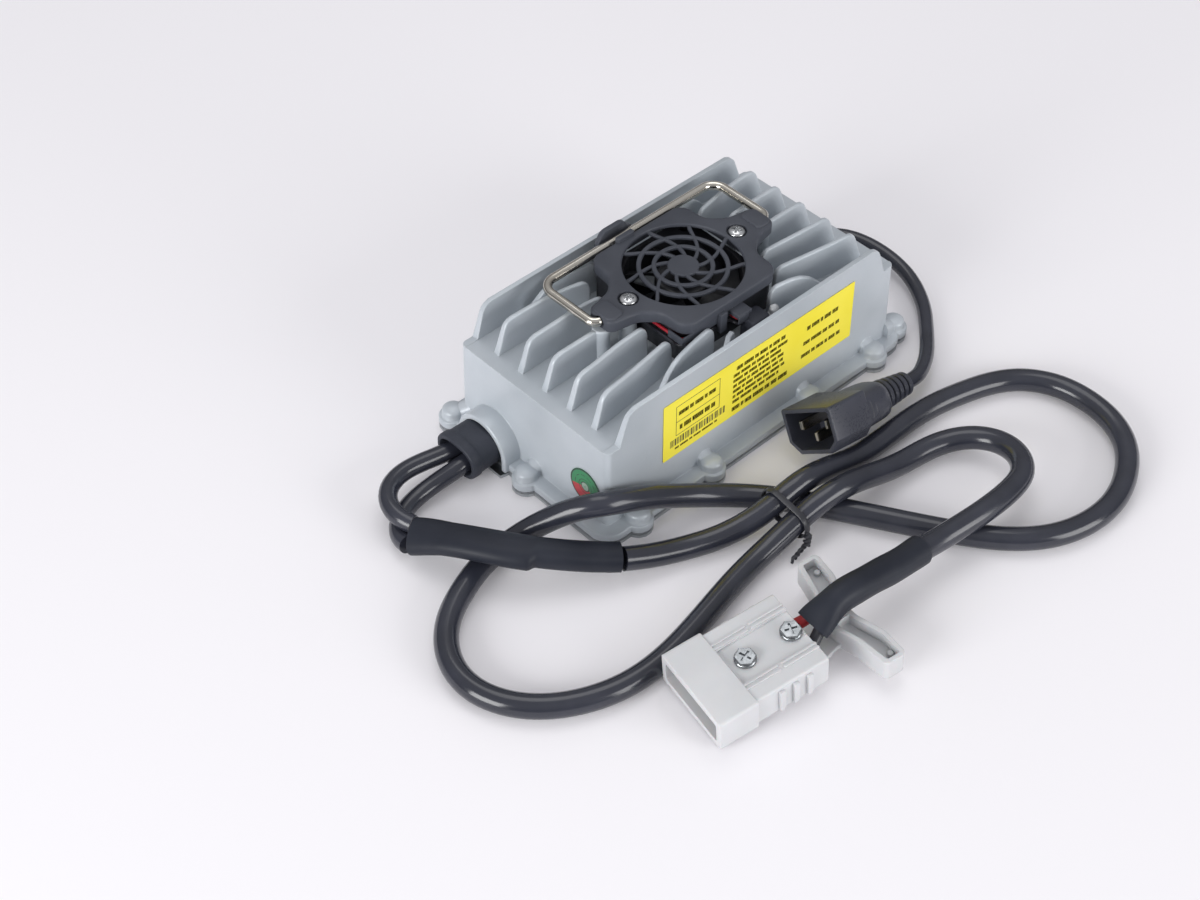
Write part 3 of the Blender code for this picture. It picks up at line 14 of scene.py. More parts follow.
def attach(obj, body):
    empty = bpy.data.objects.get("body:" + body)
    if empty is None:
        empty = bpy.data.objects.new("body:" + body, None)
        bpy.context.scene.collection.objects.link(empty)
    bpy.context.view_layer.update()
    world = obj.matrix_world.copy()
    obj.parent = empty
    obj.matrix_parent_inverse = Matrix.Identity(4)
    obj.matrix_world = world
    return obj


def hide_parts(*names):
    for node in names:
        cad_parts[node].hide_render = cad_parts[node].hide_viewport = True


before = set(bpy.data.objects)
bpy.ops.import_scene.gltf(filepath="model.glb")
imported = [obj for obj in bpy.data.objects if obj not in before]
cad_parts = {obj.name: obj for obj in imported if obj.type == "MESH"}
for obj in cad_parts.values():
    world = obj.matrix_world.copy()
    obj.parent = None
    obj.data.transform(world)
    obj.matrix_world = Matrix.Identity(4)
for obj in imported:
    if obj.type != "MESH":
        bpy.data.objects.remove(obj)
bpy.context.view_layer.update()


# Floor, light and camera
#
# A plain pale studio floor under a wide soft overhead light, seen from above and to
# the left of the charger's end, as the photograph shows it.

def srgb(code):
    """Hex sRGB colour as linear RGBA."""
    channels = [int(code[i:i + 2], 16) / 255 for i in (0, 2, 4)]
    return (*[c / 12.92 if c <= 0.04045 else ((c + 0.055) / 1.055) ** 2.4 for c in channels], 1.0)


def feed(tree, made, inputs):
    """Gives inputs of a node their values or links."""
    for socket, value in inputs.items():
        if isinstance(value, bpy.types.NodeSocket):
            tree.links.new(value, made.inputs[socket])
        else:
            made.inputs[socket].default_value = value


def node(tree, kind, inputs=None, **settings):
    """Adds a shader node with its settings and inputs."""
    made = tree.nodes.new("ShaderNode" + kind)
    for key, value in settings.items():
        setattr(made, key, value)
    feed(tree, made, inputs or {})
    return made


def blank(name):
    """A material with only a Principled shader in it."""
    made = bpy.data.materials.new(name)
    made.use_nodes = True
    return made, made.node_tree, made.node_tree.nodes["Principled BSDF"]


def linked(name, data):
    """New object with the data, in the scene."""
    made = bpy.data.objects.new(name, data)
    bpy.context.scene.collection.objects.link(made)
    return made


PAPER, PAPER_GLOW, FLOOR_HALF, FLOOR_Z = srgb("F1EFF2"), 0.06, 4.0, -0.0001
corners = [(x * FLOOR_HALF, y * FLOOR_HALF, FLOOR_Z) for x, y in ((-1, -1), (1, -1), (1, 1), (-1, 1))]
floor_mesh = bpy.data.meshes.new("studio_floor")
floor_mesh.from_pydata(corners, [], [(0, 1, 2, 3)])
studio_floor = linked("studio_floor", floor_mesh)
paper, tree, shader = blank("studio_paper")
rays = node(tree, "LightPath").outputs
seen = node(tree, "Math", {0: rays["Is Camera Ray"], 1: rays["Is Glossy Ray"]}, operation="MAXIMUM")
faint = node(tree, "Math", {0: seen.outputs[0], 1: PAPER_GLOW}, operation="MULTIPLY")
feed(tree, shader, {"Base Color": PAPER, "Emission Color": PAPER, "Emission Strength": faint.outputs[0],
                    "Roughness": 0.9, "Specular IOR Level": 0.1})
floor_mesh.materials.append(paper)

world = bpy.context.scene.world or bpy.data.worlds.new("studio")
bpy.context.scene.world = world
world.use_nodes = True
sky = world.node_tree
sky.nodes.clear()
height = node(sky, "SeparateXYZ", {0: node(sky, "TexCoord").outputs["Generated"]}).outputs["Z"]
glow = node(sky, "MapRange", {"Value": height, "From Min": -0.1, "From Max": 0.9,
                              "To Min": 0.68, "To Max": 0.50})
dim = node(sky, "MapRange", {"Value": height, "From Min": 0.0, "From Max": 0.8,
                             "To Min": 0.10, "To Max": 0.55})
rays = node(sky, "LightPath").outputs
mirrored = node(sky, "Mix", {0: rays["Is Glossy Ray"], 2: glow.outputs["Result"],
                             3: dim.outputs["Result"]}, data_type="FLOAT")
strength = node(sky, "Mix", {0: rays["Is Camera Ray"], 2: mirrored.outputs[0], 3: 1.0}, data_type="FLOAT")
backdrop = node(sky, "Background", {"Color": srgb("F4F4F8"), "Strength": strength.outputs[0]})
node(sky, "OutputWorld", {"Surface": backdrop.outputs[0]})


def softbox(name, place, size, power):
    """Square area lamp at a place, aimed at the lit spot, in metres and watts."""
    lamp = bpy.data.lights.new(name, "AREA")
    lamp.shape = "SQUARE"
    lamp.size = size
    lamp.energy = power
    holder = linked(name, lamp)
    holder.location = place
    holder.rotation_euler = (Vector(LIT_SPOT) - Vector(place)).to_track_quat("-Z", "Y").to_euler()


LIT_SPOT = (-0.02, -0.04, 0.0)
softbox("overhead_softbox", (0.25, 0.35, 1.5), 0.9, 4.0)
softbox("side_softbox", (-1.5, -0.1, 0.5), 0.8, 16.0)
softbox("front_softbox", (0.35, -1.5, 0.45), 0.9, 12.5)

lens = bpy.data.cameras.new("photo_camera")
lens.lens = 60.8
lens.sensor_width = 36.0
lens.clip_start = 0.01
photo_camera = linked("photo_camera", lens)
turn = (Matrix.Rotation(radians(-43.082), 4, "Z") @ Matrix.Rotation(radians(90 - 45.849), 4, "X")
        @ Matrix.Rotation(radians(0.152), 4, "Z"))
photo_camera.matrix_world = Matrix.Translation((-0.4372, -0.4199, 0.5829)) @ turn
bpy.context.scene.camera = photo_camera
bpy.context.scene.view_settings.view_transform = "Standard"


# Output lead
#
# Two insulated cores leave the gland and join in a sleeve of shrunk tube. One round
# cord in a glossy black vinyl jacket goes on from there, loops over the floor and
# ends in a second sleeve at the battery connector.

def smooth_route(points, spacing):
    """Evenly spaced points on the natural cubic spline through the points.

    Knots lie at the square roots of the chord lengths. Between two knots the curve is
    (m0 b^3 + m1 a^3) / 6h + (p0/h - m0 h/6) b + (p1/h - m1 h/6) a, with a and b the
    distances from them, h the step and m the bends that solve the spline's equations.
    """
    knots = np.array(points, dtype=float)
    steps = np.sqrt(np.linalg.norm(np.diff(knots, axis=0), axis=1))
    count = len(knots)
    system = np.eye(count)
    rise = np.zeros_like(knots)
    for i in range(1, count - 1):
        system[i, i - 1:i + 2] = (steps[i - 1], 2 * (steps[i - 1] + steps[i]), steps[i])
        rise[i] = 6 * ((knots[i + 1] - knots[i]) / steps[i] - (knots[i] - knots[i - 1]) / steps[i - 1])
    bend = np.linalg.solve(system, rise)
    fine = []
    for i in range(count - 1):
        for t in np.linspace(0, steps[i], 24, endpoint=(i == count - 2)):
            back, ahead = steps[i] - t, t
            fine.append((bend[i] * back ** 3 + bend[i + 1] * ahead ** 3) / (6 * steps[i])
                        + (knots[i] / steps[i] - bend[i] * steps[i] / 6) * back
                        + (knots[i + 1] / steps[i] - bend[i + 1] * steps[i] / 6) * ahead)
    fine = np.array(fine)
    run = distances(fine)
    stations = np.linspace(0, run[-1], max(2, round(run[-1] / spacing) + 1))
    return np.stack([np.interp(stations, run, fine[:, axis]) for axis in range(3)], axis=1)


def distances(line):
    """Distance of each point along a line."""
    return np.concatenate(([0.0], np.cumsum(np.linalg.norm(np.diff(line, axis=0), axis=1))))


def sweep(line, section, roll=lambda share: 0.0):
    """Rings along a line: point + side u + up v, turned by roll(share).

    section(share, millimetres) gives the (u, v) points at that place.
    """
    tangents = np.gradient(line, axis=0)
    tangents /= np.linalg.norm(tangents, axis=1)[:, None]
    run = distances(line)
    side = np.cross((0.0, 0.0, 1.0), tangents)
    side /= np.linalg.norm(side, axis=1)[:, None]
    up = np.cross(tangents, side)
    rings = []
    for point, s, w, distance in zip(line, side, up, run):
        share = distance / run[-1]
        outline, a = np.array(section(share, distance)), roll(share)
        across, above = s * cos(a) + w * sin(a), w * cos(a) - s * sin(a)
        rings.append(point + outline[:, :1] * across + outline[:, 1:] * above)
    return np.array(rings)


def oval(half_width, half_height, sides=32, power=2.0):
    """Superellipse: u = a |cos t|^(2/n), v = b |sin t|^(2/n), with their signs."""
    t = np.arange(sides) * 2 * pi / sides
    return np.stack([half_width * np.abs(np.cos(t)) ** (2 / power) * np.sign(np.cos(t)),
                     half_height * np.abs(np.sin(t)) ** (2 / power) * np.sign(np.sin(t))], axis=1)


def skin(rings, closed=False):
    """Vertices, faces and a tape measure (length, cos, sin) of a skin over rings."""
    rings = np.asarray(rings, dtype=float)
    rows, columns = rings.shape[:2]
    index = np.arange(rows * columns).reshape(rows, columns)
    here, ahead = (index, np.roll(index, -1, axis=0)) if closed else (index[:-1], index[1:])
    quads = np.stack([here, np.roll(here, -1, axis=1), np.roll(ahead, -1, axis=1), ahead], axis=2)
    faces = quads.reshape(-1, 4).tolist()
    if not closed:
        faces += [index[0, ::-1].tolist(), index[-1].tolist()]
    turn_of = np.arange(columns) * 2 * pi / columns
    tape = np.stack([np.repeat(distances(rings.mean(axis=1)), columns),
                     np.tile(np.cos(turn_of), rows), np.tile(np.sin(turn_of), rows)], axis=1)
    return rings.reshape(-1, 3), faces, tape


def tube(line, radius, sides):
    """Round skin of one radius along a line."""
    return skin(sweep(line, lambda share, mm: oval(radius, radius, sides)))


def outward_mesh(name, points, faces):
    """Mesh whose faces all point outwards."""
    mesh = bpy.data.meshes.new(name)
    mesh.from_pydata(points, [], faces)
    form = bmesh.new()
    form.from_mesh(mesh)
    bmesh.ops.recalc_face_normals(form, faces=form.faces)
    form.to_mesh(mesh)
    form.free()
    return mesh


def piece(name, shells, material, slot, *stands_for, body="charger", sharp=35):
    """One object in metres out of shells in millimetres, riding on a CAD body."""
    points, quads, tapes = zip(*shells)
    starts = np.cumsum([0] + [len(shell) for shell in points]).tolist()
    faces = [[i + start for i in face] for start, shell in zip(starts, quads) for face in shell]
    mesh = outward_mesh(name, np.concatenate(points) * 0.001, faces)
    tape = np.concatenate(tapes) * (0.001, 1, 1)
    mesh.attributes.new("tape", "FLOAT_VECTOR", "POINT").data.foreach_set("vector", tape.ravel())
    mesh.shade_smooth()
    mesh.set_sharp_from_angle(angle=radians(sharp))
    mesh.materials.append(material)
    made = linked(name, mesh)
    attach(made, body)
    if stands_for:
        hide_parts(*stands_for)
    return made


def finished(tree, shader, tones, patch, span, fine, rough, relief, sockets):
    """Tone mixed by the patch noise over its span, gloss by both noises, and a relief."""
    blend = node(tree, "MapRange", {"Value": patch, "From Min": span[0], "From Max": span[1]})
    tone = node(tree, "Mix", {0: blend.outputs[0], 6: srgb(tones[0]), 7: srgb(tones[1])},
                data_type="RGBA")
    both = node(tree, "Math", {0: patch, 1: fine}, operation="ADD").outputs[0]
    gloss = node(tree, "MapRange", {"Value": both, "From Min": 0.75, "From Max": 1.25,
                                    "To Min": rough[0], "To Max": rough[1]})
    feed(tree, shader, {"Base Color": tone.outputs[2], "Roughness": gloss.outputs[0],
                        "Normal": relief.outputs[0]})
    feed(tree, shader, {socket.replace("_", " "): value for socket, value in sockets.items()})


def moulded(name, base, other, patch_mm, grain_mm, relief_mm, rough, round_mm=0.0, **sockets):
    """Solid material: broad patches of a second tone, a fine relief and uneven gloss.

    Tone = mix(base, other) by noise of patch_mm. Height = relief_mm times noise of
    grain_mm. Roughness runs over the pair `rough` with both noises. round_mm softens
    edges and inner corners as a mould does.
    """
    made, tree, shader = blank(name)
    spot = node(tree, "TexCoord").outputs["Object"]
    patch = node(tree, "TexNoise", {"Vector": spot, "Scale": 1000 / patch_mm,
                                    "Detail": 5.0}).outputs["Fac"]
    grain = node(tree, "TexNoise", {"Vector": spot, "Scale": 1000 / grain_mm,
                                    "Detail": 2.0}).outputs["Fac"]
    relief = node(tree, "Bump", {"Height": grain, "Distance": relief_mm / 1000, "Strength": 0.8})
    if round_mm:
        edge = node(tree, "Bevel", {"Radius": round_mm / 1000}, samples=4)
        feed(tree, relief, {"Normal": edge.outputs[0]})
    finished(tree, shader, (base, other), patch, (0.36, 0.64), grain, rough, relief, sockets)
    return made


def drawn(name, base, other, relief_mm, rough, streaks=90.0, **sockets):
    """Material of a drawn or extruded length: fine streaks that run along it.

    The tape measure is squeezed along the length (12 per metre) and stretched around
    (streaks over a turn), so noise on it becomes long thin lines.
    """
    made, tree, shader = blank(name)
    tape = node(tree, "Attribute", attribute_name="tape").outputs["Vector"]
    long = node(tree, "Mapping", {"Vector": tape, "Scale": (12.0, streaks / 6, streaks / 6)}).outputs[0]
    line = node(tree, "TexNoise", {"Vector": long, "Scale": 1.0, "Detail": 3.0}).outputs["Fac"]
    spot = node(tree, "TexCoord").outputs["Object"]
    cloud = node(tree, "TexNoise", {"Vector": spot, "Scale": 55.0, "Detail": 4.0}).outputs["Fac"]
    relief = node(tree, "Bump", {"Height": line, "Distance": relief_mm / 1000, "Strength": 0.6})
    finished(tree, shader, (base, other), cloud, (0.38, 0.66), line, rough, relief, sockets)
    return made


CORE_A_ROUTE = ((-92.3, 25.3, 10.2), (-102.6, 26.4, 10.3), (-112.0, 28.2, 10.5), (-122.0, 29.1, 10.7),
                (-131.2, 26.2, 10.9), (-136.8, 19.4, 10.9), (-137.9, 11.8, 10.4), (-136.3, 6.0, 9.8))
CORE_B_ROUTE = ((-92.3, 17.8, 9.9), (-102.6, 18.0, 8.6), (-112.0, 19.6, 6.2), (-122.0, 20.2, 4.3),
                (-130.6, 18.2, 3.9), (-137.2, 14.0, 3.9), (-141.0, 8.2, 4.4), (-142.0, 2.4, 5.7))
SPLICE_ROUTE = ((-138.7, 2.4, 7.9), (-134.2, -7.6, 11.7), (-127.7, -22.4, 15.5), (-119.4, -35.4, 15.8),
                (-108.6, -46.4, 13.8), (-97.8, -54.6, 11.0), (-90.0, -60.0, 9.4))
DC_ROUTE = (
    (-89.1, -60.6, 9.1), (-78.0, -65.4, 6.6), (-66.0, -70.0, 5.2), (-54.0, -74.6, 5.3),
    (-42.0, -78.6, 7.6), (-30.0, -81.2, 11.6), (-16.0, -82.4, 14.9), (-2.0, -82.8, 12.6),
    (11.0, -82.8, 8.0), (24.0, -82.6, 5.3), (45.0, -82.4, 4.8), (62.0, -83.6, 4.8), (76.0, -86.6, 4.8),
    (90.0, -91.4, 4.8), (101.0, -98.8, 4.8), (108.5, -110.4, 4.8), (110.8, -124.0, 4.8),
    (108.6, -138.0, 4.8), (102.2, -149.6, 4.8), (92.9, -157.8, 4.8), (80.6, -164.0, 4.8),
    (67.3, -166.6, 4.8), (54.0, -165.4, 4.8), (42.0, -161.0, 4.8), (31.5, -153.6, 4.8),
    (21.5, -142.6, 4.8), (11.2, -127.4, 4.8), (0.6, -110.2, 4.8), (-9.0, -94.4, 4.8),
    (-18.4, -80.0, 4.8), (-29.0, -67.2, 5.0), (-42.0, -57.8, 7.4), (-53.6, -53.2, 12.0),
    (-64.6, -50.4, 17.2), (-75.4, -48.4, 21.8), (-85.6, -45.2, 24.5), (-91.6, -40.2, 22.8),
    (-96.6, -34.8, 18.8), (-101.2, -30.1, 14.2), (-106.7, -25.9, 9.6), (-113.0, -23.4, 6.2),
    (-120.4, -22.8, 4.9), (-128.8, -24.2, 4.8), (-136.6, -26.8, 4.8), (-150.0, -33.2, 4.8),
    (-160.6, -42.4, 4.8), (-167.0, -54.6, 4.8),
    (-167.6, -67.8, 4.8), (-162.6, -80.0, 4.8), (-154.0, -89.6, 4.8), (-143.0, -96.6, 4.8),
    (-130.0, -101.2, 4.8), (-115.0, -102.8, 4.8), (-98.0, -101.2, 4.8), (-79.0, -97.4, 4.8),
    (-62.0, -94.0, 4.8), (-47.0, -92.2, 5.4), (-34.0, -92.2, 8.4), (-22.0, -93.2, 12.6),
    (-9.0, -94.6, 14.9), (4.0, -95.6, 12.8), (17.0, -96.4, 8.6), (29.5, -97.2, 6.0), (41.0, -98.6, 5.7),
    (51.0, -102.4, 6.6), (58.6, -109.6, 8.2), (61.6, -119.6, 10.2), (58.8, -129.6, 12.2),
    (51.2, -136.8, 13.8), (41.2, -139.6, 14.7), (31.0, -140.2, 15.1), (20.7, -139.8, 15.1),
    (9.7, -138.7, 14.9), (-0.6, -137.6, 15.0), (-8.6, -137.0, 15.9))
FLARE_ROUTE = ((-9.6, -136.9, 16.1), (-22.0, -136.9, 17.9), (-35.0, -136.6, 20.8), (-46.0, -136.2, 22.8),
               (-53.4, -135.8, 23.3), (-59.6, -135.5, 21.4), (-66.2, -135.0, 17.4))
DC_CORD, CORE = 9.5, 7.5

# Plasticised vinyl jacket: glossy black with faint lines from the extruder
vinyl_jacket = drawn("black_vinyl_jacket", "2A2C35", "32343E", 0.006, (0.16, 0.26),
                     Coat_Weight=0.2, Coat_Roughness=0.10)
# Heat-shrunk polyolefin tube: satin, its faint ridges drawn coarse enough to show
shrink_tube = drawn("shrink_tube", "22252E", "2A2D36", 0.035, (0.40, 0.54), streaks=30.0,
                    Specular_IOR_Level=0.25)


def cord_tube(name, route, diameter, node_name):
    """Round jacket along a route; returns the object and its centre line in metres."""
    line = smooth_route(route, 2.0)
    made = piece(name, [tube(line, diameter / 2, 28)], vinyl_jacket, "cord_jacket", node_name)
    return made, line * 0.001


core_a, core_a_line = cord_tube("output_core_upper", CORE_A_ROUTE, CORE, "dc_core_a")
core_b, core_b_line = cord_tube("output_core_lower", CORE_B_ROUTE, CORE, "dc_core_b")
dc_cord, dc_line = cord_tube("output_cord", DC_ROUTE, DC_CORD, "dc_cord")


def splice_section(share, mm):
    """Flat oval over both cores, stepping down to the cord at 58 % of its length.

    The step is a smooth ramp s = 3x^2 - 2x^3, and a slow wave runs along the flat part.
    """
    x = min(1.0, max(0.0, (share - 0.58) / 0.035))
    ramp = 3 * x * x - 2 * x ** 3
    waist = 0.10 * (1 - ramp) * cos(2 * pi * share * 1.7)
    outline = oval(7.5 - 1.5 * ramp + waist, 4.5 + 0.7 * ramp + waist, 36, 2.3)
    outline[:, 0] += 0.9 * ramp
    return outline


def flare_section(share, mm):
    """Round over the cord, spreading flat where the cores part for the two poles."""
    spread = min(1.0, max(0.0, (share - 0.78) / 0.2))
    spread = 3 * spread ** 2 - 2 * spread ** 3
    ripple = 0.08 * cos(share * 2 * pi * 3.0)
    return oval(5.8 + 1.5 * spread + ripple, 5.8 - 1.4 * spread + ripple, 36, 2.1)


splice_rings = sweep(smooth_route(SPLICE_ROUTE, 1.0), splice_section,
                     lambda share: radians(24) * max(0.0, 1.0 - share / 0.18))
splice_sleeve = piece("splice_sleeve_shrunk", [skin(splice_rings)], shrink_tube, "black_rubber",
                      "splice_sleeve")
flare_rings = sweep(smooth_route(FLARE_ROUTE, 1.2), flare_section)
flare_sleeve = piece("connector_sleeve_shrunk", [skin(flare_rings)], shrink_tube, "black_rubber",
                     "connector_sleeve")


# Cord tie
#
# Black coated twist wire: a flat band drawn round the two passes of the cord, with its
# ends twisted together into a short tail.

TIE_X, TIE_HALF_WIDTH, TIE_HALF_DEPTH = -29.0, 1.35, 0.38
TIED_CORDS = np.array(((-81.4, 12.0), (-92.6, 10.1)))


def tie_band():
    """Band round the two cords: half a turn about each centre, joined straight."""
    first, second = TIED_CORDS
    radius = DC_CORD / 2 + 1.35
    across = (second - first) / np.linalg.norm(second - first)
    start = atan2(-across[1], -across[0])
    angles = start + np.linspace((pi / 2, -pi / 2), (-pi / 2, -3 * pi / 2), 25).T.ravel()
    path = np.repeat(TIED_CORDS, 25, axis=0) + radius * np.stack([np.cos(angles), np.sin(angles)], axis=1)
    outward = path - (first + second) / 2
    outward /= np.linalg.norm(outward, axis=1)[:, None]
    section = oval(TIE_HALF_WIDTH, TIE_HALF_DEPTH, 12, 3.0)
    rings = [[(TIE_X + u, y + along * v, z + rise * v) for u, v in section]
             for (y, z), (along, rise) in zip(path, outward)]
    return skin(rings, closed=True)


def twisted(start, end, radius, wire, turns, phase):
    """One strand of a twist: start + (end - start) s + radius (cos, sin)(2 pi turns s)."""
    start, end = np.array(start), np.array(end)
    axis = (end - start) / np.linalg.norm(end - start)
    side = np.cross(axis, (0.0, 0.0, 1.0))
    side /= np.linalg.norm(side)
    s = np.linspace(0, 1, 60)[:, None]
    a = 2 * pi * turns * s + phase
    line = start + (end - start) * s + radius * (side * np.cos(a) + np.cross(axis, side) * np.sin(a))
    return skin(sweep(line, lambda share, mm: oval(wire, wire * 0.75, 10)))


neck = ((-29.4, -99.6, 9.8), (-30.6, -100.1, 4.2), 0.8, 0.85, 1.5)
fork = (-30.4, -100.0, 5.2)
strands = [twisted(*neck, 0.0), twisted(*neck, pi), twisted(fork, (-39.4, -100.6, 2.0), 0.5, 0.6, 2.5, 0.0),
           twisted(fork, (-36.8, -99.9, 1.6), 0.5, 0.6, 2.0, pi)]
# Soft vinyl coating of the wire, matt from handling
tie = piece("cord_tie_twisted", [tie_band()] + strands,
            moulded("tie_coating", "2C2D32", "35363D", 20.0, 0.6, 0.02, (0.32, 0.45)), "cord_jacket",
            "cord_tie")


# Battery connector
#
# Two-pole housing of light grey nylon: a hood at the front, rails and a wire tray on
# top, grip ribs on both sides, and a T-shaped pull bolted through it from below.

def pose_of(origin, yaw, pitch, roll):
    turn = Matrix.Rotation(yaw, 4, "Z") @ Matrix.Rotation(pitch, 4, "Y") @ Matrix.Rotation(roll, 4, "X")
    return np.array(Matrix.Translation(Vector(origin)) @ turn)


def posed(shell, matrix):
    points, faces, tape = shell
    return points @ matrix[:3, :3].T + matrix[:3, 3], faces, tape


def rounded(corners, arc_step=radians(10)):
    """Closed outline whose corners (x, y, radius) become arcs."""
    points = []
    for index, (x, y, radius) in enumerate(corners):
        here = Vector((x, y))
        if radius == 0:
            points.append((x, y))
            continue
        before = (Vector(corners[index - 1][:2]) - here).normalized()
        after = (Vector(corners[(index + 1) % len(corners)][:2]) - here).normalized()
        half = before.angle(after) / 2
        centre = here + (before + after).normalized() * radius / sin(half)
        start = here + before * radius / tan(half) - centre
        first = atan2(start.y, start.x)
        sweep_angle = (pi - 2 * half) * (1 if before.cross(after) < 0 else -1)
        steps = max(1, ceil(abs(sweep_angle) / arc_step))
        for step in range(steps + 1):
            angle = first + sweep_angle * step / steps
            points.append((centre.x + radius * cos(angle), centre.y + radius * sin(angle)))
    return np.array(points)


def rectangle(half_x, half_y, radius, centre=(0.0, 0.0)):
    x, y = centre
    return rounded([(x + half_x, y + half_y, radius), (x - half_x, y + half_y, radius),
                    (x - half_x, y - half_y, radius), (x + half_x, y - half_y, radius)])


def inset(outline, depth):
    """Outline moved inwards along its own normals."""
    along = np.roll(outline, -1, axis=0) - np.roll(outline, 1, axis=0)
    along /= np.maximum(np.linalg.norm(along, axis=1), 1e-9)[:, None]
    area = np.sum(outline[:, 0] * np.roll(outline[:, 1], -1) - outline[:, 1] * np.roll(outline[:, 0], -1))
    inward = np.stack([-along[:, 1], along[:, 0]], axis=1) * (1 if area > 0 else -1)
    return outline + inward * depth


AXES = {"XY": (0, 1, 2), "XZ": (0, 2, 1), "YZ": (1, 2, 0)}


def slab(outline, low, high, edge=0.0, plane="XY", low_edge=0.0):
    """Outline given thickness, its rims rounded: inset e (1 - sin t) at depth e (1 - cos t)."""
    turns = np.linspace(0, pi / 2, 5)
    layers = [(low + low_edge * (1 - sin(t)), low_edge * (1 - cos(t))) for t in turns[::-1]]
    layers = layers if low_edge else [(low, 0.0)]
    rim = [(high - edge * (1 - sin(t)), edge * (1 - cos(t))) for t in turns]
    layers += rim if edge else [(high, 0.0)]
    u, v, w = AXES[plane]
    rings = np.zeros((len(layers), len(outline), 3))
    for row, (level, depth) in zip(rings, layers):
        flat = inset(outline, depth) if depth else outline
        row[:, u], row[:, v], row[:, w] = flat[:, 0], flat[:, 1], level
    return skin(rings)


def brick(low, high, edge=0.25):
    """Box with rounded upright edges and rims."""
    middle = ((low[0] + high[0]) / 2, (low[1] + high[1]) / 2)
    half = ((high[0] - low[0]) / 2, (high[1] - low[1]) / 2)
    return slab(rectangle(*half, edge, middle), low[2], high[2], edge, low_edge=edge)


def spun(profile, sides=40, axis="Z", closed=False):
    """Profile of (radius, distance) turned about an axis, from one end to the other."""
    profile = np.array(profile, dtype=float)
    radius, level = np.maximum(profile[:, :1], 0.001), profile[:, 1:]
    t = np.arange(sides) * 2 * pi / sides
    rings = np.stack([radius * np.cos(t), radius * np.sin(t), level + 0 * t], axis=2)
    return skin(rings if axis == "Z" else rings[:, :, (2, 0, 1)], closed)


def moved(shell, offset, turn_z=0.0):
    matrix = np.array(Matrix.Translation(Vector(offset)) @ Matrix.Rotation(turn_z, 4, "Z"))
    return posed(shell, matrix)


def post(profile, sides, x, y=0.0):
    """Spun profile standing at a place."""
    return moved(spun(profile, sides), (x, y, 0))


def worked(shell, *steps):
    """Shell after Boolean steps, each (operation, shells); works in millimetres."""
    target = linked("shape", outward_mesh("shape", *shell[:2]))
    used = [target]
    for operation, shapes in steps:
        group = bpy.data.collections.new("shapes")
        for shape in shapes:
            tool = linked("shape", outward_mesh("shape", *shape[:2]))
            group.objects.link(tool)
            used.append(tool)
        boolean = target.modifiers.new(operation, "BOOLEAN")
        boolean.operation = operation
        boolean.solver = "EXACT"
        boolean.operand_type = "COLLECTION"
        boolean.collection = group
    bpy.context.view_layer.update()
    mesh = bpy.data.meshes.new_from_object(target.evaluated_get(bpy.context.evaluated_depsgraph_get()))
    points = np.zeros(len(mesh.vertices) * 3)
    mesh.vertices.foreach_get("co", points)
    faces = [tuple(face.vertices) for face in mesh.polygons]
    for thing in used:
        bpy.data.objects.remove(thing, do_unlink=True)
    points = points.reshape(-1, 3)
    return points, faces, np.zeros_like(points)


# Glass-filled nylon, light grey and slightly translucent at its edges
nylon = moulded("light_grey_nylon", "C6C7C9", "CFD0D2", 30.0, 0.9, 0.03, (0.42, 0.56), round_mm=0.35,
                Subsurface_Weight=0.08, Subsurface_Scale=0.002)
# Zinc plated bolt steel
zinc = moulded("zinc_plated_steel", "A9ACAF", "94989B", 6.0, 0.8, 0.012, (0.20, 0.36), Metallic=1.0)
LENGTH, WIDTH, HEIGHT, HOOD_END = 47.6, 36.6, 16.0, -7.2
BOLT_X = (-0.3, 19.6)
shell_pose = pose_of((-95.4, -129.9, 19.8), radians(-10.5), radians(-6.0), radians(2.0))


def connector_shell():
    half_x, half_y, bottom = LENGTH / 2, WIDTH / 2, -HEIGHT
    hood = slab(rectangle(half_y, HEIGHT / 2, 1.3, (0, bottom / 2)), -half_x, HOOD_END, 0.5, "YZ", 0.5)
    body = slab(rectangle(half_y - 1.2, HEIGHT / 2 - 0.6, 1.0, (0, bottom / 2)), HOOD_END - 1, half_x,
                0.4, "YZ")
    rails = [brick((x, y - 0.45, -1.6), (x + 15.0, y + 0.45, -0.1), 0.15)
             for y in (-11.0, -9.2, 9.2, 11.0) for x in (-7.6, 8.8)]
    grips = [brick((x, side * 17.6 - 0.9, bottom + 2), (x + 2.2, side * 17.6 + 0.6, -2.6), 0.3)
             for x in (2.0, 8.0, 14.0) for side in (-1, 1)]
    mouth = slab(rectangle(half_y - 2.6, 5.0, 1.0, (0, bottom / 2)), -half_x - 1, -9.5, 0.0, "YZ")
    tray = slab(rectangle(16.6, 8.2, 0.6, (HOOD_END + 16.8, 0)), -1.6, 1.0)
    ways = [moved(spun(((4.1, 14.0), (4.1, 30.0)), 28, "X"), (0, y, bottom / 2)) for y in (-6.8, 6.8)]
    bolts = [post(((1.9, bottom - 1), (1.9, 1.0)), 24, x) for x in BOLT_X]
    return posed(worked(hood, ("UNION", [body] + rails + grips),
                        ("DIFFERENCE", [mouth, tray] + ways + bolts)), shell_pose)


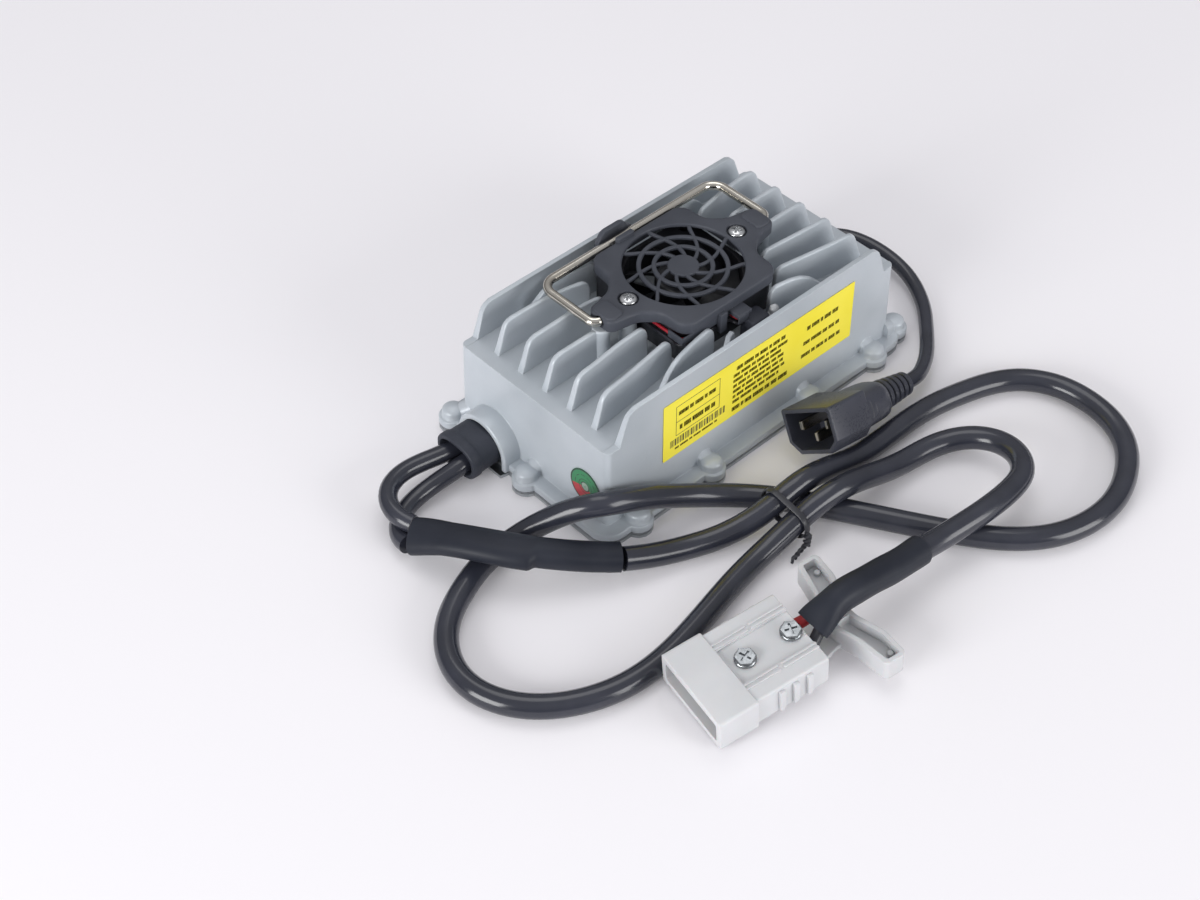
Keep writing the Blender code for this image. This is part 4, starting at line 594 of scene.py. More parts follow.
def connector_pull():
    """Plate, stem and two curved arms hollowed from above, each with a peg."""
    top = -HEIGHT - 0.3
    low = top - 2.4
    rim = -8.5
    plate = rounded([(-8.0, -10.0, 2.0), (24.0, -10.0, 3.0), (36.0, -6.5, 3.0), (46.0, -9.0, 0),
                     (46.0, 9.0, 0), (36.0, 6.5, 3.0), (24.0, 10.0, 3.0), (-8.0, 10.0, 2.0)])
    arms, pockets, pegs = [], [], []
    for side in (-1, 1):
        arm = [(35.5, 0.6, 0), (36.5, 5.0, 3.0), (39.5, 13.0, 7.0), (41.8, 27.0, 2.2), (51.0, 27.0, 2.2),
               (50.6, 15.0, 8.0), (46.5, 4.0, 4.0), (46.0, 0.6, 0)]
        pocket = [(38.0, 2.2, 0.3), (38.6, 6.0, 2.0), (41.3, 13.0, 6.0), (43.6, 25.2, 0.8),
                  (49.2, 25.2, 0.8), (48.8, 15.6, 6.0), (45.0, 6.0, 3.0), (44.2, 2.2, 0.3)]
        arms.append(slab(rounded([(x, side * y, r) for x, y, r in arm]), low + 0.1, rim, 0.35))
        pockets.append(slab(rounded([(x, side * y, r) for x, y, r in pocket]), rim - 5.0, 0.0))
        pegs.append(post(((1.3, rim - 5.4), (1.3, rim - 3.7), (1.0, rim - 3.4)), 24, 47.6, side * 21.8))
    holes = [post(((1.9, low - 1), (1.9, top + 1)), 24, x) for x in BOLT_X]
    return posed(worked(slab(plate, low, top, 0.3, "XY", 0.3), ("UNION", arms),
                        ("DIFFERENCE", pockets + holes), ("UNION", pegs)), shell_pose)


def connector_bolt(x, turn):
    """Hexagonal washer head with a cross recess, on a plain shank."""
    bottom = -HEIGHT
    t = np.arange(36) * 2 * pi / 36
    hexagon = 3.6 / np.maximum(np.cos((t + pi / 6) % (pi / 3) - pi / 6), 0.8)
    head = [[(r * hexagon[i] * cos(a), r * hexagon[i] * sin(a), z) for i, a in enumerate(t)]
            for r, z in ((0.93, -0.2), (1.0, 0.0), (1.0, 0.45), (0.9, 0.8), (0.5, 0.9), (0.01, 0.9))]
    washer = spun(((1.5, -1.3), (4.1, -1.3), (4.1, -0.3), (3.8, 0.0), (0.01, 0.0)), 36)
    shank = spun(((0.01, bottom - 2.4), (1.4, bottom - 2.4), (1.5, bottom - 2.2), (1.5, -1.2)), 24)
    slots = [moved(brick((-2.4, -0.45, 0.1), (2.4, 0.45, 2.0), 0.05), (0, 0, 0), turn + q)
             for q in (0, pi / 2)]
    cap = worked(skin(head), ("DIFFERENCE", slots))
    return [posed(moved(part, (x, 0, 0)), shell_pose) for part in (cap, washer, shank)]


battery_connector = piece("battery_connector_shell", [connector_shell()], nylon, "grey_nylon",
                          "connector_housing")
pull = piece("battery_connector_pull", [connector_pull()], nylon, "grey_nylon", "connector_handle")
bolts = [piece(f"connector_bolt_head_{i + 1}", connector_bolt(x, 0.4 + 0.9 * i), zinc, "zinc_steel",
               f"connector_bolt_{i + 1}", sharp=28) for i, x in enumerate(BOLT_X)]


def dress(material, *names):
    """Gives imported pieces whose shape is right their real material."""
    for name in names:
        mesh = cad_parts[name].data
        mesh.materials.clear()
        mesh.materials.append(material)


# Silver plated copper, slightly dulled
dress(moulded("plated_contact", "CBC6BA", "B5AF9F", 5.0, 0.4, 0.01, (0.20, 0.38), Metallic=1.0),
      "contact_1", "contact_2")
# Vinyl insulation of thin wire, satin
red_vinyl = moulded("red_vinyl", "A8232B", "B52C30", 9.0, 0.7, 0.01, (0.34, 0.46))
black_vinyl = moulded("black_vinyl", "24252B", "2D2E35", 9.0, 0.7, 0.01, (0.30, 0.42))


def conductor(name, side, vinyl, slot, node_name):
    """Insulated core from the shell's wire way into the mouth of the sleeve."""
    inside = np.array([(18.0, side * 6.8, -8.0, 1.0), (21.5, side * 6.4, -8.0, 1.0),
                       (25.0, side * 5.4, -7.9, 1.0)])
    outside = [(-66.0, -135.0 + side * 3.4, 18.0), (-62.0, -135.3 + side * 2.7, 20.4)]
    way = smooth_route([*(inside @ shell_pose.T)[:, :3], *outside], 0.6)
    return piece(name, [tube(way, 2.3, 24)], vinyl, slot, node_name)


core_red = conductor("pole_core_red", 1, red_vinyl, "red_wire", "conductor_red")
core_black = conductor("pole_core_black", -1, black_vinyl, "cord_jacket", "conductor_black")


# Mains lead
#
# A thinner black cord bends out of a tapered boot in the far end wall and comes round
# to the front. It ends in a moulded three-pole inlet plug with an open shroud.

AC_ROUTE = ((108.98, 14.5, 8.3), (112.4, 10.7, 8.1), (115.2, 5.2, 7.8), (117.1, -1.6, 7.2),
            (117.9, -9.4, 6.4), (117.4, -18.0, 5.4), (115.0, -26.6, 4.6), (110.8, -34.8, 4.0),
            (105.0, -42.6, 3.8), (97.8, -49.8, 4.0), (89.6, -57.2, 4.7), (80.8, -63.8, 5.8),
            (71.2, -68.7, 7.3), (66.0, -69.9, 8.25), (61.05, -70.0, 9.15))
# Plug vinyl, a little duller than the jacket, with a spark-eroded skin
plug_vinyl = moulded("plug_vinyl", "363841", "3E404A", 18.0, 0.6, 0.002, (0.26, 0.36), round_mm=0.4)
# Bright nickel plate on brass pins
nickel = moulded("nickel_plate", "D5D0C4", "C4BEB0", 8.0, 0.7, 0.006, (0.12, 0.26), Metallic=1.0)
AC_CORD, PLUG_LENGTH, PLUG_ROOM = 6.3, 58.0, 17.0
plug_pose = pose_of((3.6, -69.0, 19.5), radians(-1.0), radians(10.2), radians(-36.0))


def cut_box(y, z, cut_y, cut_z, radius, cut_radius):
    """Box outline whose two lower corners are cut off."""
    return rounded([(y, z, radius), (-y, z, radius), (-y, cut_z, cut_radius), (-cut_y, -z, cut_radius),
                    (cut_y, -z, cut_radius), (y, cut_z, cut_radius)])


def plug_shell():
    """Shroud with two cut corners, a waisted grip and a segmented strain relief."""
    stations = ((20.3, 11.6, 8.4, 3.6), (22.0, 11.5, 8.3, 3.4), (26.0, 11.2, 8.2, 3.0),
                (30.0, 11.0, 8.2, 2.8), (34.0, 10.7, 8.1, 2.7), (36.5, 10.2, 7.9, 2.6),
                (38.4, 8.9, 7.3, 2.5), (39.8, 7.0, 6.3, 2.3), (41.0, 5.4, 5.3, 2.1), (42.0, 4.3, 4.3, 2.0),
                (PLUG_LENGTH - 0.5, 3.9, 3.9, 2.0), (PLUG_LENGTH, 3.5, 3.5, 2.0))
    grip = [[(x, u, v) for u, v in oval(wide, high, 40, power)] for x, wide, high, power in stations]
    ribs = []
    for index in range(5):
        x, radius = 41.6 + 3.3 * index, 6.5 - 0.35 * index
        ribs.append(spun(((radius - 0.4, x), (radius, x + 0.4), (radius, x + 1.9), (radius - 0.4, x + 2.3)),
                         36, "X"))
    grooves = [brick((24.0 + 2.6 * k, side * 11.6 - 0.6, -5.0), (25.0 + 2.6 * k, side * 11.6 + 0.6, 5.0), 0.2)
               for k in range(4) for side in (-1, 1)]
    shroud = slab(cut_box(13.5, 9.5, 8.5, -4.5, 1.2, 0.8), 0.0, 21.0, 0.8, "YZ", 0.4)
    room = slab(cut_box(11.7, 7.7, 7.7, -4.3, 0.8, 0.4), -1.0, PLUG_ROOM, 0.0, "YZ")
    return posed(worked(shroud, ("UNION", [skin(grip)] + ribs), ("DIFFERENCE", [room] + grooves)), plug_pose)


def blade_pin(y, z):
    """Flat pin whose nose narrows over its last millimetre."""
    rings = []
    for x, shrink in ((2.4, 0.45), (2.9, 0.15), (3.6, 0.0), (PLUG_ROOM - 0.3, 0.0)):
        rings.append([(x, y + u, z + v) for u, v in rectangle(1.0 - shrink, 2.1 - shrink, 0.25)])
    return posed(skin(rings), plug_pose)


line = smooth_route(AC_ROUTE, 2.0)
ac_cord = piece("mains_cord", [tube(line, AC_CORD / 2, 24)], vinyl_jacket, "cord_jacket", "ac_cord")
ac_plug = piece("inlet_plug", [plug_shell()], plug_vinyl, "black_rubber", "ac_plug")
pins = [piece(f"inlet_pin_{name}", [blade_pin(y, z)], nickel, "bright_steel", f"plug_pin_{name}")
        for name, y, z in (("line", 7.0, 1.6), ("neutral", -7.0, 1.6), ("earth", 0.0, -3.2))]


# Housing
#
# Die-cast aluminium in light bluish-grey satin paint: drafted walls, a flange with
# twelve lugs, an arch at each end for the cables, and fins that curve in to the fan.

BODY_X, BODY_Y, LEDGE_Z, TROUGH_Z, CREST_Z = 80.0, 42.0, 43.7, 43.5, 58.5
DRAFT = tan(radians(1.0))
FLANGE_Z, FLANGE_TOP = 2.8, 5.9
ARCH_Y, ARCH_Z, ARCH_RADIUS, ARCH_FACE_X, ARCH_BORE = 21.5, 8.0, 14.1, 88.7, 12.0
NOSE_X = 73.7
LAMP_PLACE, LAMP_FOOT, COVER_SCREW_X, POST_X = (16.8, -34.0), 50.2, 29.8, 44.2
LUGS = ([(-85.2, -1.5), (-84.0, 44.5), (86.2, -41.0), (84.0, 44.5)]
        + [(x, side * 46.8) for side in (-1, 1) for x in (-68.0, -28.3, 28.3, 67.0)])
# Fin ends as (distance from the end, height over the trough)
FIN_NOSE = ((0.0, 0.5), (1.0, 3.4), (2.0, 6.2), (2.9, 8.9), (3.7, 11.3), (4.6, 13.1), (6.0, 14.3),
            (8.0, 15.0))
FIN_TIP = ((0.0, 10.5), (0.2, 11.8), (0.6, 12.9), (1.2, 13.7), (1.9, 14.3), (2.9, 14.8), (4.0, 15.0))
FIN_RAMP = ((0.0, 0.5), (3.0, 4.5), (7.0, 9.3), (11.0, 12.6), (15.0, 14.4), (19.0, 15.0))
RIB_END = ((0.0, 9.0), (0.3, 10.4), (0.8, 11.0))
LONG_FINS = (
    ((-NOSE_X, 27.8), (-56.0, 27.4), (-40.2, 25.8), (-29.0, 23.2)),
    ((-NOSE_X, 13.9), (-56.0, 14.0), (-41.0, 14.0), (-30.5, 12.6)),
    ((-NOSE_X, 0.0), (-60.0, 0.0), (-45.0, 0.0)),
    ((-NOSE_X, -13.9), (-60.0, -13.2), (-46.0, -11.6), (-31.0, -10.9)),
    ((-NOSE_X, -27.8), (-56.0, -26.2), (-44.0, -24.6), (-29.5, -22.6)),
    ((NOSE_X, 27.8), (60.0, 27.6), (48.0, 26.4), (32.0, 23.6)),
    ((NOSE_X, 13.9), (60.0, 13.9), (38.8, 13.2)),
    ((NOSE_X, 0.0), (60.0, 0.0), (45.0, 0.0)),
    ((NOSE_X, -13.9), (60.0, -13.6), (47.0, -12.5), (32.8, -11.2)),
    ((NOSE_X, -27.8), (60.0, -26.8), (44.0, -24.4), (29.5, -21.9)),
)
SHORT_FINS = (
    ((-52.0, -37.4), (-40.0, -33.8), (-26.0, -30.6), (-12.3, -28.5)),
    ((48.0, -36.8), (34.0, -31.6), (24.0, -29.4), (19.5, -28.6)),
    ((-51.0, 36.8), (-38.0, 33.2), (-26.0, 31.0), (-19.0, 30.2)),
    ((49.0, 35.4), (36.0, 32.6), (23.6, 30.6), (12.0, 30.2)),
)
SMALL_RIB = ((-5.4, -33.0), (-9.5, -34.4), (-13.5, -37.6))


def fin(path, outer, inner):
    """Tapered fin along a path: 3.0 mm at its root, 2.0 mm under a half-round crest."""
    line = smooth_route([(x, y, 0.0) for x, y in path], 1.0)
    run = distances(line)
    middle = np.arange(outer[-1][0] + 3.0, run[-1] - inner[-1][0] - 2.0, 3.0)
    stations = list(outer) + [(d, outer[-1][1]) for d in middle]
    stations += [(run[-1] - d, height) for d, height in reversed(inner)]
    tangents = np.gradient(line, axis=0)
    rings = []
    for distance, height in stations:
        centre = np.array([np.interp(distance, run, line[:, axis]) for axis in range(3)])
        along = np.array([np.interp(distance, run, tangents[:, axis]) for axis in (0, 1)])
        along /= np.linalg.norm(along)
        side = np.array((-along[1], along[0], 0.0))
        half = (3.0 - height / (CREST_Z - TROUGH_Z)) / 2
        crown = min(0.7, height * 0.5)
        outline = [(-1.5, -1.2), (1.5, -1.2), (1.52, 0.0)]
        outline += [(half * cos(t) ** 0.6 if cos(t) > 1e-6 else 0.0, height - crown + crown * sin(t))
                    for t in np.linspace(0, pi / 2, 5)]
        outline += [(-u, v) for u, v in outline[-2:2:-1]] + [(-1.52, 0.0)]
        rings.append([centre + side * u + np.array((0, 0, TROUGH_Z + v)) for u, v in outline])
    return skin(rings)


def lug(x, y):
    """Round lobe with a domed boss, and a neck that slopes up to the wall."""
    dome = [(4.5 * cos(t), 8.5 + 1.9 * sin(t)) for t in np.linspace(0, pi / 2, 9)]
    foot = [(0.01, FLANGE_Z), (6.0, FLANGE_Z), (6.0, FLANGE_TOP - 0.6), (5.8, FLANGE_TOP - 0.2),
            (5.3, FLANGE_TOP), (4.9, FLANGE_TOP + 0.15), (4.55, FLANGE_TOP + 0.7)]
    lobe = post(foot + dome, 36, x, y)
    inward = np.array((78.0 * (1 if x > 0 else -1) - x, 0.0, 0.0))
    if abs(y) > BODY_Y:
        inward[1] = (40.0 - abs(y)) * (1 if y > 0 else -1)
        inward[0] = inward[0] if abs(x) > BODY_X else 0.0
    side = np.array((-inward[1], inward[0], 0.0)) / np.linalg.norm(inward)
    rings = []
    for share, half, top in ((0.0, 3.0, 9.0), (1.0, 4.0, 13.0)):
        arch = [(half * cos(t), top - half * 0.75 + half * 0.75 * sin(t)) for t in np.linspace(0, pi, 13)]
        foot = np.array((x, y, 0)) + inward * share
        rings.append([foot + side * u + np.array((0, 0, w)) for u, w in [(-half, 3.3), (half, 3.3)] + arch])
    return [lobe, skin(rings)]


def arch_outline(radius, bottom, sides=40):
    """Half round over straight sides, in the YZ plane."""
    angles = [pi * i / sides for i in range(sides + 1)]
    arc = [(ARCH_Y + radius * cos(a), ARCH_Z + radius * sin(a)) for a in angles]
    return np.array([(ARCH_Y - radius, bottom), (ARCH_Y + radius, bottom)] + arc)


def arch_skin(end, levels, bottom):
    """Skin over arch outlines at an end: (distance along X, radius)."""
    return skin([[(end * x, y, z) for y, z in arch_outline(radius, bottom)] for x, radius in levels])


def layered(*levels):
    """Skin over outlines at heights: (outline, z)."""
    return skin([np.column_stack([outline, np.full(len(outline), z)]) for outline, z in levels])


def housing_shell():
    def body(z):
        grow = (LEDGE_Z - z) * DRAFT
        return rectangle(BODY_X + grow, BODY_Y + grow, 2.5), z

    flange = slab(rectangle(86.6, 48.8, 9.0), FLANGE_Z, FLANGE_TOP, 0.7)
    outside = [flange]
    for x, y in LUGS:
        outside += lug(x, y)
    rim = ((BODY_X - 2, 0.0), (ARCH_FACE_X - 0.7, 0.0), (ARCH_FACE_X - 0.45, 0.08),
           (ARCH_FACE_X - 0.2, 0.28), (ARCH_FACE_X, 0.7))
    outside += [arch_skin(end, [(x, ARCH_RADIUS - depth) for x, depth in rim], FLANGE_Z) for end in (-1, 1)]
    outside.append(brick((-74.0, -22.3, LEDGE_Z - 1), (-72.4, -20.9, LEDGE_Z + 1.2), 0.4))
    cuts, over, far = [], 75.0, 110.0
    for end in (-1, 1):
        nose = [(end * (NOSE_X - d), LEDGE_Z + h - 0.5) for d, h in FIN_NOSE[1:-1]]
        nose += [(end * (NOSE_X - 9.0), CREST_Z + 0.3)]
        outline = np.array([(end * far, LEDGE_Z), (end * NOSE_X, LEDGE_Z)] + nose
                           + [(nose[-1][0], over), (end * far, over)])
        cuts.append(slab(outline, -60, 60, plane="XZ"))
    slope = 0.8 / (CREST_Z - TROUGH_Z)
    cuts.append(layered((rectangle(far, 39.0, 0), TROUGH_Z),
                        (rectangle(far, 39.0 + slope * 31.5, 0), over)))
    room_x, room_y, roof = 77.2, 39.2, 40.5
    cuts.append(layered((rectangle(room_x + roof * DRAFT, room_y + roof * DRAFT, 3.0), -2.0),
                        (rectangle(room_x, room_y, 3.0), roof)))
    cuts += [arch_skin(end, ((70.0, ARCH_BORE), (95.0, ARCH_BORE)), -2.0) for end in (-1, 1)]
    cuts += [post(((1.7, -2.0), (1.7, 9.3)), 20, x, y) for x, y in LUGS]
    added = [fin(path, FIN_NOSE, FIN_TIP) for path in LONG_FINS]
    added += [fin(path, FIN_RAMP, FIN_TIP) for path in SHORT_FINS] + [fin(SMALL_RIB, RIB_END, RIB_END)]
    for x, profile in ((COVER_SCREW_X, ((3.7, 42.3), (3.4, 58.4), (3.0, 58.8))),
                       (POST_X, ((3.7, 42.4), (3.5, 57.9), (3.1, 58.3)))):
        added += [post(profile, 32, side * x) for side in (-1, 1)]
    added.append(post(((2.8, 42.3), (2.5, LAMP_FOOT - 0.3)), 28, *LAMP_PLACE))
    added += [post(((3.0, 10.9), (3.0, 41.5)), 20, x, y) for x in (-64, 64) for y in (-31, 31)]
    holes = [post(((1.65, 48.0), (1.65, 62.0)), 20, side * COVER_SCREW_X) for side in (-1, 1)]
    holes.append(post(((2.0, 38.0), (2.0, 46.0)), 20, 8.0, -32.0))
    return worked(layered(body(FLANGE_Z), body(CREST_Z)), ("UNION", outside), ("DIFFERENCE", cuts),
                  ("UNION", added), ("DIFFERENCE", holes))


def cast_paint():
    """Paint over a cast skin: orange peel, small pits, and a painted highlight that lightens the edges.

    Height = peel noise (1.6 mm) + grain (0.35 mm) - pits where a cell noise falls under
    its threshold. The painted highlight lies where the softened normal turns away from the true one.
    """
    made, tree, shader = blank("satin_cast_paint")
    spot = node(tree, "TexCoord").outputs["Object"]
    cloud = node(tree, "TexNoise", {"Vector": spot, "Scale": 38.0, "Detail": 4.0}).outputs["Fac"]
    peel = node(tree, "TexNoise", {"Vector": spot, "Scale": 620.0, "Detail": 2.0}).outputs["Fac"]
    grain = node(tree, "TexNoise", {"Vector": spot, "Scale": 2600.0, "Detail": 1.0}).outputs["Fac"]
    cells = node(tree, "TexVoronoi", {"Vector": spot, "Scale": 150.0}).outputs["Distance"]
    pits = node(tree, "MapRange", {"Value": cells, "From Min": 0.035, "From Max": 0.075,
                                   "To Min": -1.6, "To Max": 0.0}).outputs[0]
    fine = node(tree, "Math", {0: grain, 1: 0.35, 2: peel}, operation="MULTIPLY_ADD").outputs[0]
    heights = node(tree, "Math", {0: fine, 1: pits}, operation="ADD").outputs[0]
    soft = node(tree, "Bevel", {"Radius": 0.0006}, samples=4).outputs[0]
    true = node(tree, "NewGeometry").outputs["True Normal"]
    turned = node(tree, "VectorMath", {0: soft, 1: true}, operation="DOT_PRODUCT").outputs["Value"]
    # Painted highlight: edges lightened towards D3D9DD where the softened normal turns away
    painted_edge_highlight = node(tree, "MapRange", {"Value": turned, "From Min": 0.985, "From Max": 0.80,
                                  "To Min": 0.0, "To Max": 0.75}).outputs[0]
    blend = node(tree, "MapRange", {"Value": cloud, "From Min": 0.36, "From Max": 0.64}).outputs[0]
    tone = node(tree, "Mix", {0: blend, 6: srgb("B5BCC2"), 7: srgb("BDC3C9")}, data_type="RGBA").outputs[2]
    edge_highlight_tone = node(tree, "Mix", {0: painted_edge_highlight, 6: tone, 7: srgb("D3D9DD")}, data_type="RGBA").outputs[2]
    gloss = node(tree, "MapRange", {"Value": cloud, "From Min": 0.3, "From Max": 0.7,
                                    "To Min": 0.28, "To Max": 0.40}).outputs[0]
    relief = node(tree, "Bump", {"Height": heights, "Distance": 0.00006, "Strength": 0.7, "Normal": soft})
    feed(tree, shader, {"Base Color": edge_highlight_tone, "Roughness": gloss, "Normal": relief.outputs[0],
                        "Metallic": 0.12})
    return made


piece("housing_casting", [housing_shell()], cast_paint(), "cast_paint", "housing", sharp=32)


# Base plate, gasket and base screws
#
# A zinc plated sheet closes the housing from below over a thin silicone gasket, held by
# twelve countersunk screws. Only its rim shows when the charger stands.

# Rolled sheet with a passivated zinc coat; cured silicone, matt
dress(moulded("zinc_plated_sheet", "C0C4C6", "A9AEB1", 14.0, 1.2, 0.012, (0.28, 0.46), Metallic=1.0),
      "base_plate")
dress(moulded("grey_silicone", "84888C", "909498", 12.0, 0.8, 0.03, (0.5, 0.7)), "base_gasket")
dress(zinc, *[f"base_screw_{i:02d}" for i in range(1, 13)])


# Cable glands
#
# Black rubber fills the two arches. The output side ends in a thick oval lip round an
# open mouth; the mains side carries a tapered boot that bends with its cord.

# Black EPDM rubber: matt, with a grain from the mould
rubber = moulded("matt_black_rubber", "33363F", "3C3F48", 16.0, 0.7, 0.025, (0.50, 0.66), round_mm=0.3,
                 Specular_IOR_Level=0.3)


GLAND_Z = 10.7


def collar(end):
    outline = oval(13.6, 9.8, 48, 4.0)
    return skin([[(end * x, ARCH_Y + u, FLANGE_Z + 9.8 + v) for u, v in outline] for x in (74.6, 77.1)])


def output_gland():
    """Oval sleeve, its lip swelling by 0.5 mm, round a mouth that widens outwards."""
    sleeve = ((77.1, 10.6, 7.8), (88.9, 10.6, 7.8), (96.8, 10.8, 7.8), (97.4, 11.0, 7.9),
              (97.9, 11.3, 8.15), (98.6, 11.4, 8.2), (101.1, 11.4, 8.2), (101.7, 11.2, 8.05),
              (102.0, 10.8, 7.7))
    mouth = ((92.0, 8.8, 5.6), (101.2, 9.2, 6.0), (101.8, 9.5, 6.3), (103.0, 10.4, 7.2))
    outside, inside = [skin([[(-x, ARCH_Y + u, GLAND_Z + v) for u, v in oval(a, b, 48, 2.6)]
                             for x, a, b in stations]) for stations in (sleeve, mouth)]
    return worked(collar(-1), ("UNION", [outside]), ("DIFFERENCE", [inside]))


def mains_boot():
    """Boot along its bend: radius 5.6 - 1.3 s, cut by four grooves 0.7 mm deep."""
    route = smooth_route(((85.0, 21.5, 8.6), (88.8, 21.5, 8.5), (94.0, 21.2, 8.4), (100.0, 19.9, 8.4),
                          (104.8, 17.8, 8.4), (108.6, 14.8, 8.3)), 0.6)

    def section(share, mm):
        radius = 5.6 - 1.3 * share
        groove = sum(max(0.0, 1 - abs(mm - place) / 0.9) for place in (9.5, 13.0, 16.5, 20.0))
        radius -= 0.7 * min(1.0, groove * 1.6) + 0.6 * max(0.0, (share - 0.96) / 0.04)
        return oval(radius, radius, 36)

    depths = ((76.1, 0.0), (88.8, 0.0), (89.1, 0.15), (89.3, 0.5))
    plug = arch_skin(1, [(x, ARCH_BORE - 0.3 - depth) for x, depth in depths], FLANGE_Z + 0.05)
    return [collar(1), plug, skin(sweep(route, section))]


piece("output_gland_rubber", [output_gland()], rubber, "black_rubber", "output_gland")
piece("mains_gland_rubber", mains_boot(), rubber, "black_rubber", "mains_gland")


# Fan
#
# A 50 mm square axial fan in black glass-filled plastic sits in the bay at the middle of
# the fins. Its rotor is a cup over the motor with seven pitched, swept blades.

FAN_HALF, ROTOR_LOW, ROTOR_HIGH, HUB_RADIUS, BLADE_RADIUS, BLADES = 25.0, 46.8, 58.0, 11.2, 22.9, 7


def fan_blade(index):
    """Twisted sheet: z(t) = low + rise (t + 0.05 sin(2 pi t)), 1.1 mm thick at the middle.

    t runs over the blade's arc, whose centre sweeps 14 degrees ahead towards the tip.
    """
    rings = []
    low, rise = ROTOR_LOW + 1.2, ROTOR_HIGH - ROTOR_LOW - 2.6
    for radius in np.linspace(HUB_RADIUS - 1.0, BLADE_RADIUS, 10):
        share = (radius - HUB_RADIUS) / (BLADE_RADIUS - HUB_RADIUS)
        centre = 2 * pi * index / BLADES + radians(14) * share
        half_arc = radians(19) - radians(3) * share
        upper, lower = [], []
        for t in np.linspace(0, 1, 15):
            angle = centre + half_arc * (2 * t - 1)
            z = low + rise * (t + 0.05 * sin(2 * pi * t))
            half = 0.18 + 0.37 * sin(pi * t) ** 0.6
            upper.append((radius * cos(angle), radius * sin(angle), z + half))
            lower.append((radius * cos(angle), radius * sin(angle), z - half))
        rings.append(upper + lower[::-1])
    return skin(rings)


def fan_hub():
    """Cup over the motor, its crown softened and slightly dished."""
    inside, crown, soft = ROTOR_HIGH - 1.8, ROTOR_HIGH - 1.1, HUB_RADIUS - 1.1
    profile = [(0.01, ROTOR_LOW + 0.6), (1.5, ROTOR_LOW + 0.6), (1.5, inside), (9.6, inside),
               (9.6, ROTOR_LOW), (HUB_RADIUS, ROTOR_LOW), (HUB_RADIUS, crown)]
    profile += [(soft + 1.1 * cos(t), crown + 1.1 * sin(t)) for t in np.linspace(0.3, pi / 2, 6)]
    profile += [(8.6, ROTOR_HIGH), (8.2, ROTOR_HIGH - 0.15), (0.01, ROTOR_HIGH - 0.25)]
    return spun(profile, 56)


# Glass-filled fan plastic, almost black, with a fine grain
fan_plastic = moulded("fan_plastic", "1B1C20", "232429", 14.0, 0.4, 0.02, (0.36, 0.52), round_mm=0.2)
piece("fan_rotor_blades", [fan_hub()] + [fan_blade(k) for k in range(BLADES)], fan_plastic,
      "black_plastic", "fan_rotor", body="rotor")
dress(fan_plastic, "fan_frame", "power_transistor")
# Baked varnish over the motor's windings
dress(moulded("motor_varnish", "3B2A22", "4A3226", 3.0, 0.5, 0.06, (0.25, 0.45)), "fan_stator")


# Fan cover
#
# One moulding of dark grey satin plastic: a lobed plate with a web grille over the fan,
# two ears that take the handle's ends, and a hook that keeps the handle down.

COVER_BOTTOM, COVER_TOP, HINGE_Z, WIRE = 59.1, 64.3, 61.7, 3.8
GRILLE_RADIUS, EAR_TIP_X, HANDLE_REACH = 24.3, 45.2, 30.6
SPOKES, SPOKE_SWEEP, SPOKE_HALF = 9, radians(62), 0.8


def cover_outline():
    """Corner lobes over the fan joined by hollow curves to the two ears."""
    quarter = [(EAR_TIP_X, 6.2, 3.4), (32.6, 8.6, 9.0), (26.3, 14.6, 6.0), (25.4, 27.6, 6.0)]
    corners = quarter + [(-x, y, r) for x, y, r in reversed(quarter)]
    corners += [(-x, -y, r) for x, y, r in quarter] + [(x, -y, r) for x, y, r in reversed(quarter)]
    return rounded(corners, radians(7))


def hoop(radius, width, low, high):
    """Ring of the grille, its upper rims softened by 0.3 mm."""
    outer, inner = radius + width / 2, radius - width / 2
    return spun(((outer, low), (outer, high - 0.3), (outer - 0.3, high), (inner + 0.3, high),
                 (inner, high - 0.3), (inner, low)), 96, closed=True)


def grille_bar(index, low, high):
    """Spoke from the disc to the rim: angle = start - sweep (1 - r / R)^1.5.

    Its sides lean 4 percent of that curve's slope ahead of the radius.
    """
    section = ((-SPOKE_HALF, low), (SPOKE_HALF, low), (SPOKE_HALF, high - 0.3), (0.5, high), (-0.5, high),
               (-SPOKE_HALF, high - 0.3))
    rings = []
    for radius in np.linspace(4.0, GRILLE_RADIUS + 0.8, 26):
        left = max(0.0, 1 - radius / GRILLE_RADIUS)
        angle = 2 * pi * index / SPOKES - SPOKE_SWEEP * left ** 1.5
        ahead = angle + SPOKE_SWEEP * 1.5 * left ** 0.5 * 0.04
        side = np.array((cos(ahead + pi / 2), sin(ahead + pi / 2), 0.0))
        centre = np.array((radius * cos(angle), radius * sin(angle), 0.0))
        rings.append([centre + side * u + np.array((0, 0, z)) for u, z in section])
    return skin(rings)


